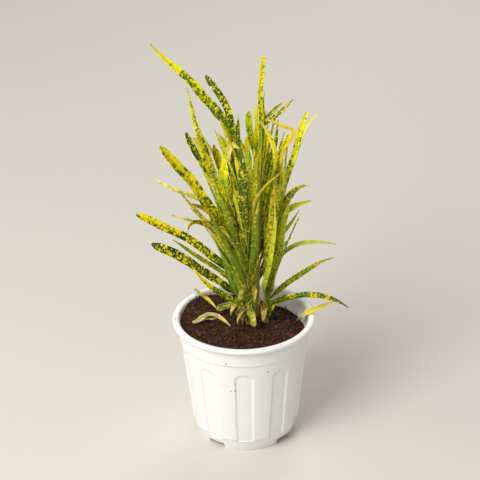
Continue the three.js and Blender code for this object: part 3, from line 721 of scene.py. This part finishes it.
def pot_outline():
    lip_under = POT_HEIGHT - LIP_HEIGHT
    lip_middle = RIM_RADIUS - LIP_WIDTH / 2
    lip = []
    for k in range(LIP_STEPS + 1):
        angle = math.radians(LIP_START + LIP_SWEEP * k / LIP_STEPS)
        lip.append((lip_middle + LIP_WIDTH / 2 * math.cos(angle),
                    POT_HEIGHT - LIP_HEIGHT / 2 + LIP_HEIGHT / 2 * math.sin(angle)))
    foot_inside = BASE_RADIUS - FOOT_WIDTH
    outside = rounded([
        (0, FOOT_HEIGHT), (foot_inside, FOOT_HEIGHT), (foot_inside, 0), (BASE_RADIUS, 0),
        (BASE_TOP_RADIUS, BASE_HEIGHT), (BODY_FOOT_RADIUS, BASE_HEIGHT + SHOULDER),
        (STEP_RADIUS, STEP_HEIGHT - STEP_RISE), (COLLAR_RADIUS, STEP_HEIGHT + STEP_RISE),
        (COLLAR_RADIUS + COLLAR_FLARE, lip_under - COLLAR_FLARE_HEIGHT),
        (lip_middle - LIP_NECK, lip_under - LIP_NECK), lip[0],
    ], EDGE_ROUND)
    inside = rounded([lip[-1], *inner_wall()[-2::-1], (0, FOOT_HEIGHT + FLOOR)], EDGE_ROUND)
    return filled_in(outside, ROW_RISE) + lip[1:] + filled_in(inside, INNER_ROW_RISE)[1:]


def flute_recess(points):
    """How deep each point of the outer wall lies in a flute, from 0 to 1."""
    heading = np.degrees(np.arctan2(points[:, 1], points[:, 0])) + 90 - POT_TURN
    pitch = 360 / FLUTES
    off = (heading + pitch / 2) % pitch - pitch / 2
    radius = np.hypot(points[:, 0], points[:, 1])
    sideways = np.abs(np.radians(off) * radius)
    height = points[:, 2]
    rise = np.clip((height - BASE_HEIGHT) / (FLUTE_TOP - BASE_HEIGHT), 0, 1)
    half = lerp(FLUTE_FOOT_WIDTH, FLUTE_WIDTH, rise) / 2
    spring = FLUTE_TOP - FLUTE_ARCH
    over = np.maximum(0, height - spring) / FLUTE_ARCH
    reach = np.hypot(sideways / half, over)
    in_side = np.where(over > 0, (1 - reach) * FLUTE_ARCH, half - sideways)
    return smooth(-FLUTE_EDGE / 2, FLUTE_EDGE / 2, in_side)


def foot_notch():
    """The block that cuts the notch between two feet, with sides that run to the pot's axis."""
    deselect_all()
    bpy.ops.mesh.primitive_cube_add(size=MM, location=(0, 0, 0))
    notch = bpy.context.object
    ends = points_of(notch)
    reach = np.where(ends[:, 0] > 0, BASE_RADIUS + NOTCH_OUTSIDE, BASE_RADIUS - FOOT_WIDTH - NOTCH_INSIDE)
    side = np.sign(ends[:, 1]) * np.tan(math.radians(NOTCH_SPAN / 2)) * reach
    move_points(notch, np.c_[reach, side, np.where(ends[:, 2] > 0, NOTCH_TOP, -NOTCH_BELOW)])
    return notch


def drain_hole():
    deselect_all()
    bpy.ops.mesh.primitive_cylinder_add(vertices=32, radius=DRAIN_RADIUS * MM, depth=3 * FLOOR * MM,
                                        location=(DRAIN_CIRCLE * MM, 0, (FOOT_HEIGHT + FLOOR / 2) * MM))
    return bpy.context.object


def make_pot(finish):
    pot = spun("nursery_pot", pot_outline(), POT_STEPS)
    points = points_of(pot)
    radius = np.hypot(points[:, 0], points[:, 1])
    height = points[:, 2]
    outer = radius > body_radius(height) - OUTER_WALL
    wall = outer & (height > BASE_HEIGHT - FLUTE_START) & (height < STEP_HEIGHT - STEP_RISE)
    depth = np.where(wall, flute_recess(points) * FLUTE_DEPTH, 0)
    depth *= smooth(BASE_HEIGHT - FLUTE_START, BASE_HEIGHT + FLUTE_EASE, height)
    points[:, :2] *= ((radius - depth) / np.maximum(radius, 1e-6))[:, None]
    move_points(pot, points)

    cutters = []
    for k in range(FEET):
        turn = FOOT_TURN + (k + 0.5) * 360 / FEET
        notch, drain = foot_notch(), drain_hole()
        for cutter, angle in ((notch, turn - 90), (drain, turn)):
            cutter.matrix_world = Matrix.Rotation(math.radians(angle), 4, "Z") @ cutter.matrix_world
            cutters.append(cutter)
    cutter = joined(cutters, "pot_cutter")
    only(pot)
    cut = pot.modifiers.new("cut", "BOOLEAN")
    cut.operation = "DIFFERENCE"
    cut.object = cutter
    cut.solver = "EXACT"
    bpy.ops.object.modifier_apply(modifier=cut.name)
    bpy.data.objects.remove(cutter)
    smooth_by_angle(pot, 40)
    dress(pot, "pot", finish)


# Soil


def soil_height(x, y):
    right, front = x / SOIL_RADIUS, -y / SOIL_RADIUS
    level = SOIL_LEVEL + SLOPE_FRONT * front - SLOPE_LEFT * right
    level = level + SADDLE * (front**2 - right**2) + TWIST * right * front
    for heap_x, heap_y, height, spread in HEAPS:
        level = level + height * np.exp(-((x - heap_x) ** 2 + (y - heap_y) ** 2) / (2 * spread**2))
    return level + LUMP_HEIGHT * np.sin(x / LUMP_RIGHT + 1) * np.sin(y / LUMP_BACK + 2)


def granular(x, y):
    """The height of the soil's crumbs over its even surface."""
    return sum(deep * noise.noise(Vector((x / wide, y / wide, wide))) for wide, deep in GRAINS)


def soil_top(x, y):
    return float(soil_height(x, y)) + granular(x, y)


def soil_body():
    """The soil in one piece: uneven on top, and down the pot's wall to its floor."""
    rings = np.linspace(0, SOIL_RADIUS, SOIL_RINGS)
    bottom = FOOT_HEIGHT + FLOOR + CLEARANCE
    (foot, _), (knee, knee_height) = inner_wall()[:2]
    outline = [(r, POT_HEIGHT) for r in rings]
    outline += [(knee - CLEARANCE, knee_height), (foot - CLEARANCE, bottom), (0, bottom)]
    soil = spun("cocopeat", outline, POT_STEPS)
    points = points_of(soil)
    for i, (x, y, z) in enumerate(points):
        if z < POT_HEIGHT - CLEARANCE:
            continue
        height = soil_top(x, y)
        radius = math.hypot(x, y)
        if radius > SOIL_RADIUS - CLEARANCE:
            height = float(soil_height(x, y)) + 0.6 * granular(x, y)
            out = (inner_radius(height) - CLEARANCE) / radius
            points[i] = (x * out, y * out, height)
        else:
            points[i, 2] = height
    move_points(soil, points)
    write_attribute(soil, "crumb", "FLOAT", np.zeros(len(points)))
    return soil


def soil_crumbs(chance):
    """Crumbs: one lump of 40 faces, copied, turned, flattened and scattered on the soil and the pot."""
    deselect_all()
    bpy.ops.mesh.primitive_uv_sphere_add(segments=8, ring_count=5, radius=0.5 * MM)
    lump = bpy.context.object
    shape = points_of(lump)
    crumbs = []

    def add_crumb(x, y, z, size, flat=CRUMB_FLATNESS, tone=None):
        crumb = copy_of(lump)
        swell = [1 + CRUMB_SWELL * noise.noise(Vector(p) * 2.3 + Vector((x, y, z))) for p in shape]
        turn = Euler([chance.uniform(0, 6.28) for _ in range(3)]).to_matrix()
        turned = (shape * np.array(swell)[:, None]) @ np.array(turn) * size
        turned[:, 2] *= flat
        move_points(crumb, turned + (x, y, z))
        own = chance.uniform(*CRUMB_TONES) if tone is None else tone
        write_attribute(crumb, "crumb", "FLOAT", np.full(len(shape), own))
        crumbs.append(crumb)

    for _ in range(CRUMBS):
        size = CRUMB_LEAST + CRUMB_MORE * chance.random() ** 3
        radius = (SOIL_RADIUS - 1.2 - size / 2) * math.sqrt(chance.random())
        x, y = around(radius, chance.uniform(0, 2 * math.pi))
        add_crumb(x, y, soil_top(x, y) + 0.12 * size, size)
    # Crumbs that cling where the soil meets the wall
    for _ in range(WALL_CRUMBS):
        angle = chance.uniform(0, 2 * math.pi)
        size = chance.uniform(*WALL_CRUMB_SIZE)
        height = float(soil_height(*around(SOIL_RADIUS, angle))) + chance.uniform(0, 2.5) ** 1.5
        radius = float(inner_radius(height)) - 0.45 * size
        add_crumb(*around(radius, angle), height, size, 0.8)
    for heading, height, size in SPECKS_ON_POT:
        collar = height > STEP_HEIGHT + STEP_RISE
        radius = COLLAR_RADIUS + 0.3 if collar else body_radius(height)
        add_crumb(*around(radius, math.radians(heading)), height, size, 0.9, SPECK_TONE)
    for heading, radius, size in SPECKS_ON_RIM:
        across = (radius - RIM_RADIUS + LIP_WIDTH / 2) / (LIP_WIDTH / 2)
        height = POT_HEIGHT - LIP_HEIGHT / 2 * (1 - math.sqrt(max(0, 1 - across**2)))
        add_crumb(*around(radius, math.radians(heading)), height + 0.2 * size, size, 0.8, SPECK_TONE)
    bpy.data.objects.remove(lump)
    return crumbs


def coir_fibres(chance):
    """Coir fibres: a thin five-sided thread, copied, and each bent its own way."""
    deselect_all()
    bpy.ops.mesh.primitive_cylinder_add(vertices=5, radius=FIBRE_RADIUS * MM, depth=MM, location=(0, 0, 0))
    thread = bpy.context.object
    bpy.ops.object.mode_set(mode="EDIT")
    bpy.ops.mesh.select_all(action="DESELECT")
    bpy.ops.object.mode_set(mode="OBJECT")
    for edge in thread.data.edges:
        a, b = (thread.data.vertices[k].co.z for k in edge.vertices)
        edge.select = abs(a - b) > 0.5 * MM
    bpy.ops.object.mode_set(mode="EDIT")
    bpy.ops.mesh.subdivide(number_cuts=6)
    bpy.ops.object.mode_set(mode="OBJECT")
    shape = points_of(thread)
    fibres = []
    for _ in range(FIBRES):
        fibre = copy_of(thread)
        length = chance.uniform(*FIBRE_LENGTH)
        radius = (SOIL_RADIUS - 4 - length / 2) * math.sqrt(chance.random())
        angle, heading = chance.uniform(0, 2 * math.pi), chance.uniform(0, 2 * math.pi)
        bend = chance.uniform(-1, 1)
        x, y = around(radius, angle)
        placed = []
        for px, py, pz in shape:
            turn = heading + bend * pz
            run_x, run_y = around(pz * length, turn)
            cx, cy = x + run_x, y + run_y
            lift = 0.5 + 0.8 * math.cos(3 * pz + angle)
            level = soil_top(cx, cy) * 0.5 + soil_top(x, y) * 0.5
            placed.append((cx - py * math.sin(turn), cy + py * math.cos(turn), level + lift + px))
        move_points(fibre, np.array(placed))
        write_attribute(fibre, "crumb", "FLOAT", np.full(len(shape), chance.uniform(*FIBRE_TONES)))
        fibres.append(fibre)
    bpy.data.objects.remove(thread)
    return fibres


def make_soil(finish):
    chance = random.Random(4)
    soil = joined([soil_body(), *soil_crumbs(chance), *coir_fibres(chance)], "cocopeat")
    smooth_by_angle(soil, 70)
    dress(soil, "potting_soil", finish)


# Leaves


def blade_half(along, width, tip, length):
    """Half the blade's width at each share of its length, rounded off at the very tip."""
    least, fullness = tip
    rise = np.sin(np.pi / 2 * np.clip((along - BLADE_START) / BLADE_RISE, 0, 1))
    fall = 1 - np.clip((along - BLADE_FALL) / (1 - BLADE_FALL), 0, None) ** fullness
    floor = np.where(along < BLADE_FALL, PETIOLE, least)
    half = np.maximum(floor, width * rise * fall) / 2
    from_tip = np.clip((1 - along) * length / (TIP_ROUNDING if least > 2 else POINT_ROUNDING), 0, 1)
    return half * np.sqrt(np.clip(1 - (1 - from_tip) ** 2, 0.01, 1))


def stem_axis(stem, height):
    """The stem's middle at each height: upright to where it bends, and then straight to its top."""
    share = np.clip((height - STEM_BEND_HEIGHT) / (stem.top[2] - STEM_BEND_HEIGHT), 0, None)
    x, y = (lerp(stem.foot[k], stem.top[k], share) for k in (0, 1))
    return np.stack([x, y, height + 0 * share], -1)


def leaf_course(stem, leaf, along):
    """The leaf's middle line at each share of its length, its side direction and its upper face's."""

    def run(s):
        bent = s**leaf.curl
        h = np.radians(leaf.heading + leaf.sweep * bent)
        p = np.radians(lerp(leaf.pitch, leaf.tip_pitch, bent))
        return np.stack([np.cos(p) * np.cos(h), np.cos(p) * np.sin(h), np.sin(p)], -1), h

    middles = (np.arange(LEAF_STEPS) + 0.5) / LEAF_STEPS
    steps, _ = run(along[:, None] * middles[None, :])
    line = stem_axis(stem, float(leaf.root)) + steps.sum(1) * (leaf.length * along / LEAF_STEPS)[:, None]
    start = np.radians(leaf.heading)
    bark = np.array([np.cos(start), np.sin(start), 0])
    line = line + bark * ((STEM_TOP_RADIUS - BLADE) * (1 - along))[:, None]
    direction, h = run(along)
    level = np.stack([-np.sin(h), np.cos(h), 0 * h], -1)
    return line, *rolled(direction, level, leaf.roll)


def rolled(direction, level, roll):
    """The side direction turned about the run by the roll, and the face's direction square to both."""
    turn = np.radians(roll)
    side = (level * np.cos(turn) + np.cross(direction, level) * np.sin(turn)
            + direction * (direction * level).sum(1)[:, None] * (1 - np.cos(turn)))
    return side, np.cross(direction, side)


def shaped_leaf(template, course, width, tip, length, fold, look, chance, walls=()):
    """A copy of the blade template laid along a course: folded along its midrib, with waving margins."""
    line, side, face = course
    u = template["shares"]
    along = template["stations"]
    half = blade_half(along, width, tip, length)
    twist = np.radians(chance.uniform(-LEAF_TWIST, LEAF_TWIST))
    twist = twist * np.sin(np.pi * along * chance.uniform(0.8, 1.8))[:, None]
    side, face = side * np.cos(twist) + face * np.sin(twist), face * np.cos(twist) - side * np.sin(twist)
    sway_turns = along * length / SWAY_LENGTH + chance.random()
    sway = SWAY * smooth(0.1, 0.5, along) * np.sin(2 * np.pi * sway_turns)
    line = line + side * sway[:, None] * smooth(30, 80, length)
    wave_phase = chance.uniform(0, 6.28), chance.uniform(0, 6.28)
    wave_length = chance.uniform(*WAVE_LENGTHS)
    wave_height = WAVE_HEIGHT * chance.uniform(0.5, 1.2) * smooth(5, 12, width)
    mm_along = along * length
    blade = smooth(0.08, 0.25, along) * smooth(1.0, 0.9, along)
    channel = lerp(1.1, fold, smooth(0.03, 0.12, along))
    deep = smooth(0.0, 0.15, along)
    offsets = []
    for across in u:
        phase = wave_phase[0 if across < 0 else 1]
        wave = wave_height * across**2 * np.sin(2 * np.pi * mm_along / wave_length + phase) * blade
        lift = channel * half * (abs(across) ** 1.25)
        groove = -RIB_GROOVE * math.exp(-((across * width / 2 / RIB_WIDTH) ** 2)) * deep * (1 - along)
        frill = 1 + 0.03 * np.sin(2 * np.pi * mm_along / (wave_length * 0.73) + phase) * blade
        offsets.append(side * (across * half * frill)[:, None] + face * (lift + wave + groove)[:, None])
    offsets = np.stack(offsets, 1)
    centre = line.copy()
    for wall in walls:
        distance = (centre[:, 0] - PLANT_AXIS[0]) * wall[0] + (centre[:, 1] - PLANT_AXIS[1]) * wall[1]
        spare = distance - np.max(-(offsets @ wall), axis=1) - WALL_MARGIN
        kept = 0.5 * (spare + np.hypot(spare, 2 * WALL_SOFTNESS))
        centre = centre + wall * (kept - spare)[:, None]
    leaf = copy_of(template["object"])
    order = template["order"]
    move_points(leaf, (centre[:, None, :] + offsets).reshape(-1, 3)[order])

    # What its skin reads: places in millimetres, shares of its width and length, and its look
    shift = chance.uniform(0, 4000)
    lime, gold, at_tip, edge, warm, dry, pale, flecks = LOOKS[look]
    lime += chance.uniform(-0.08, 0.08)
    warm += chance.uniform(-0.05, 0.1)
    across_mm = half[:, None] * u[None, :]
    same = 0 * across_mm
    for name, parts in (
        ("leaf_place", (across_mm, mm_along[:, None] + shift + same, edge + same)),
        ("leaf_share", (u[None, :] + same, along[:, None] + same, flecks + same)),
        ("leaf_look", (lime + same, gold + same, at_tip + same)),
        ("leaf_age", (warm + same, dry + same, pale + same)),
    ):
        write_attribute(leaf, name, "FLOAT_VECTOR", np.stack(parts, -1).reshape(-1, 3)[order])
    return leaf


def blade_template():
    """A flat strip of faces, closer together towards its two ends, that every leaf is shaped from."""
    deselect_all()
    bpy.ops.mesh.primitive_grid_add(x_subdivisions=ACROSS, y_subdivisions=ALONG, size=2 * MM, calc_uvs=False)
    strip = bpy.context.object
    points = points_of(strip)
    columns = np.rint((points[:, 0] + 1) / 2 * ACROSS).astype(int)
    rows = np.rint((points[:, 1] + 1) / 2 * ALONG).astype(int)
    even = np.arange(ALONG + 1) / ALONG
    return {
        "object": strip,
        "shares": np.linspace(1, -1, ACROSS + 1),
        "stations": 0.45 * even + 0.55 * (0.5 - 0.5 * np.cos(np.pi * even)),
        "order": rows * (ACROSS + 1) + columns,
    }


def upright_length(root, tip_height, pitch, least):
    return max(least, (tip_height - root) / math.sin(math.radians(pitch - CROWD_LEAN)))


def crowd_leaves(stem):
    """The upright leaves that climb a stem by the golden angle, from the same draws as the solids."""
    draw = make_draw(stem.seed)
    leaves = []
    for k in range(stem.crowd):
        share = (k + 0.5) / stem.crowd
        turn = ((k * GOLDEN_ANGLE) % 360) / 360 - 0.5
        root = lerp(LOWEST_ROOT, stem.top[2] - BARE_TOP, share**LOW_CROWDING)
        pitch = lerp(*CROWD_PITCH, draw())
        tip_height = lerp(*stem.tips, lerp(draw(), share, CLIMB_SHARE))
        sweep = lerp(*CROWD_SWEEP, draw())
        tip_pitch = pitch + lerp(*CROWD_BEND, draw())
        length = upright_length(root, tip_height, pitch, CROWD_LEAST_LENGTH)
        width = lerp(*CROWD_WIDTH, draw())
        roll = lerp(*CROWD_ROLL, draw())
        tip = BLUNT if draw() < BLUNT_SHARE else POINTED
        looks = CROWD_LOOKS["low" if root < LOW_LEAVES else "high"]
        leaves.append(Leaf(root, stem.quarter + 45 + FAN * turn, sweep, pitch, tip_pitch, length, width, roll,
                           looks[(k * 5 + stem.seed) % len(looks)], tip))
    return [leaf for k, leaf in enumerate(leaves) if k not in stem.left_out]


def infill_leaves(stem, chance):
    """Narrow young leaves between the others, which fill the plant out as densely as it grew."""
    leaves = []
    for k in range(INFILL):
        root = lerp(LOWEST_ROOT, stem.top[2] - INFILL_BARE_TOP, (k + chance.random()) / INFILL)
        heading = stem.quarter + chance.uniform(5, 85)
        # Those at the right and the back stand steeper, as the plant reaches less far there
        steep = heading % 360 < 130 or heading % 360 > 300
        pitch = chance.uniform(80, 88) if steep else chance.uniform(62, 84)
        tip_height = min(lerp(*stem.tips, chance.random()), root + chance.uniform(*INFILL_RISE))
        length = upright_length(root, tip_height, pitch, INFILL_LEAST_LENGTH)
        sweep, bend = chance.uniform(-35, 35), chance.uniform(-14, 6)
        width, roll = chance.uniform(*INFILL_WIDTH), chance.uniform(-80, 80)
        tip = chance.choice((POINTED, BLUNT))
        look = chance.choice(CROWD_LOOKS["low" if root < LOW_LEAVES else "high"])
        leaves.append(Leaf(root, heading, sweep, pitch, pitch + bend, length, width, roll, look, tip))
    return leaves


def make_woody_stem(stem, bark):
    """A rooted stem with the scars of the leaves that it has shed, bent along its course."""
    heights = np.arange(STEM_FOOT_HEIGHT, stem.top[2] + 0.1, 1.5)
    share = np.clip((heights - STEM_BEND_HEIGHT) / (stem.top[2] - STEM_BEND_HEIGHT), 0, 1)
    radii = lerp(STEM_FOOT_RADIUS, STEM_TOP_RADIUS, share)
    scars = np.exp(-((((heights + stem.seed) % SCAR_SPACING) - SCAR_SPACING / 2) / 1.1) ** 2)
    outline = [(0, heights[0]), *zip(radii - 0.25 + 0.25 * scars, heights), (0, heights[-1] + 1)]
    made = spun("woody_stem", outline, STEM_STEPS)
    points = points_of(made)
    knots = np.array([noise.noise(Vector(p) / 5) for p in points])
    points[:, :2] *= (1 + 0.08 * knots)[:, None]
    points[:, :2] += stem_axis(stem, points[:, 2])[:, :2]
    move_points(made, points)
    smooth_by_angle(made, 60)
    made.data.materials.append(bark)
    return made


def finish_blades(blades, name, skin, underside):
    """Joins sheets of blade and gives them their thickness, with the paler material on their undersides."""
    for blade in blades:
        blade.data.materials.append(skin)
        blade.data.materials.append(underside)
    sheet = joined(blades, name)
    thick = sheet.modifiers.new("thickness", "SOLIDIFY")
    thick.thickness = BLADE_SHEET * MM
    thick.offset = -1
    thick.material_offset = 1
    bpy.ops.object.modifier_apply(modifier=thick.name)
    smooth_by_angle(sheet, 60)
    return sheet


def make_leafy_stem(stem, template, skin, underside, bark):
    a, b = math.radians(stem.quarter), math.radians(stem.quarter + 90)
    walls = [np.array([-math.sin(a), math.cos(a), 0]), np.array([math.sin(b), -math.cos(b), 0])]
    chance = random.Random(stem.seed)
    blades = []
    for leaf in [Leaf(*row) for row in stem.leaves] + crowd_leaves(stem) + infill_leaves(stem, chance):
        course = leaf_course(stem, leaf, template["stations"])
        blades.append(shaped_leaf(template, course, leaf.width, leaf.tip, leaf.length, FOLD, leaf.look,
                                  chance, walls))
    blades += [ribbon(template, chance, *shred) for shred in SHREDS.get(stem.name, ())]
    sheet = finish_blades(blades, stem.name + "_blades", skin, underside)
    whole = joined([sheet, make_woody_stem(stem, bark)], "croton_" + stem.name)
    dress(whole, stem.name)


def through(points, shares):
    """A smooth line through the points: its place and its run at each share of its length, and its length."""
    p = [np.array(q, float) for q in points]
    p = [2 * p[0] - p[1]] + p + [2 * p[-1] - p[-2]]
    line = []
    for p0, p1, p2, p3 in zip(p, p[1:], p[2:], p[3:]):
        k1, k2, k3 = (np.linalg.norm(b - a) ** 0.5 for a, b in ((p0, p1), (p1, p2), (p2, p3)))
        m1 = ((p1 - p0) / k1 - (p2 - p0) / (k1 + k2) + (p2 - p1) / k2) * k2
        m2 = ((p2 - p1) / k2 - (p3 - p1) / (k2 + k3) + (p3 - p2) / k3) * k2
        for t in np.arange(0, 1, 1 / 40):
            a, b = 2 * p1 - 2 * p2 + m1 + m2, -3 * p1 + 3 * p2 - 2 * m1 - m2
            line.append(a * t**3 + b * t**2 + m1 * t + p1)
    line = np.array(line + [p[-2]])
    reach = np.concatenate([[0], np.cumsum(np.linalg.norm(np.diff(line, axis=0), axis=1))])

    def at(s):
        return np.stack([np.interp(s * reach[-1], reach, line[:, k]) for k in range(3)], -1)

    run = at(np.clip(shares + 0.01, 0, 1)) - at(np.clip(shares - 0.01, 0, 1))
    return at(shares), run / np.linalg.norm(run, axis=1)[:, None], reach[-1]


def ribbon(template, chance, look, width, roll, fold, points, tip=POINTED):
    """A blade that lies along a few points."""
    line, run, length = through(points, template["stations"])
    level = np.stack([-run[:, 1], run[:, 0], 0 * run[:, 0]], -1)
    level /= np.maximum(np.linalg.norm(level, axis=1), 1e-6)[:, None]
    course = (line, *rolled(run, level, roll))
    return shaped_leaf(template, course, width, tip, length, fold, look, chance)


def make_fallen_leaves(template, skin):
    chance = random.Random(8)
    for name, slot, strips in FALLEN:
        blades = [ribbon(template, chance, *strip) for strip in strips]
        dress(finish_blades(blades, "croton_" + name, skin, skin), name)


# Scene


def make_floor():
    deselect_all()
    bpy.ops.mesh.primitive_circle_add(vertices=96, radius=9, fill_type="NGON")
    floor = bpy.context.object
    floor.name = "floor"
    made, _, _ = material("pale_floor", Base_Color=linear("#d9d4cb"), Roughness=0.9, Specular_IOR_Level=0.2)
    floor.data.materials.append(made)


def make_light(name, place, size, power, colour):
    """A soft box that is turned to the middle of the plant."""
    light = bpy.data.lights.new(name, "AREA")
    light.size = size
    light.energy = power
    light.color = linear(colour)[:3]
    lamp = bpy.data.objects.new(name, light)
    bpy.context.scene.collection.objects.link(lamp)
    lamp.location = place
    lamp.rotation_euler = (Vector(LIT_PLACE) - Vector(place)).to_track_quat("-Z", "Y").to_euler()


def make_studio():
    world = bpy.data.worlds.new("studio")
    bpy.context.scene.world = world
    world.use_nodes = True
    sky = world.node_tree.nodes["Background"]
    sky.inputs["Color"].default_value = linear("#f4f6f8")
    sky.inputs["Strength"].default_value = SKY_STRENGTH
    for light in LIGHTS:
        make_light(*light)
    bpy.context.scene.view_settings.view_transform = "Standard"


def make_camera():
    lens = bpy.data.cameras.new("camera")
    lens.lens = CAMERA_LENS_MM
    lens.sensor_width = 36
    lens.clip_end = 30
    camera = bpy.data.objects.new("camera", lens)
    bpy.context.scene.collection.objects.link(camera)
    rise = math.radians(CAMERA_ELEVATION)
    x, y, z = CAMERA_TARGET
    camera.location = (x * MM, (y - CAMERA_DISTANCE * math.cos(rise)) * MM,
                       (z + CAMERA_DISTANCE * math.sin(rise)) * MM)
    look_down = Matrix.Rotation(math.radians(90 - CAMERA_ELEVATION), 3, "X")
    camera.rotation_euler = (look_down @ Matrix.Rotation(math.radians(CAMERA_ROLL), 3, "Z")).to_euler()
    bpy.context.scene.camera = camera


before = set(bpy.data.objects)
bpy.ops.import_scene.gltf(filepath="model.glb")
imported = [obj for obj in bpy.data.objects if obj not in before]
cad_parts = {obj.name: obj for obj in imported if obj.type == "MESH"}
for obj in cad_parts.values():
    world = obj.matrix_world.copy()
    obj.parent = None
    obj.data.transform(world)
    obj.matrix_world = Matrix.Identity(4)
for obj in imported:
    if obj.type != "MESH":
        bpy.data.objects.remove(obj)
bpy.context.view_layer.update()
deselect_all()
make_camera()
make_studio()
make_floor()

make_pot(moulded_polypropylene())
make_soil(moist_cocopeat())

living = croton_blade(
    "croton_leaf_skin", green="#15400d", lime="#96bf06", gold="#f6e404", lime_gold="#c4da06",
    warm_gold="#d98e06", rib="#a2b21e", pale="#ecdc7c", tan="#a9702a", roughness=0.4, fade=0.0)
beneath = croton_blade(
    "croton_leaf_underside", green="#28541a", lime="#98b816", gold="#ecda10", lime_gold="#bcce1e",
    warm_gold="#cf8e18", rib="#a3ad3c", pale="#eedd84", tan="#ad7c3c", roughness=0.5, fade=0.02)
fallen = croton_blade(
    "fallen_croton_leaf", green="#4a6e1a", lime="#b9b62c", gold="#fadc24", lime_gold="#e6dc3c",
    warm_gold="#e8b02c", rib="#dccf8c", pale="#dcd3a6", tan="#b48e52", roughness=0.5, fade=0.0)
bark = croton_bark()
strip = blade_template()
for stem in STEMS:
    make_leafy_stem(stem, strip, living, beneath, bark)
make_fallen_leaves(strip, fallen)
bpy.data.objects.remove(strip["object"])
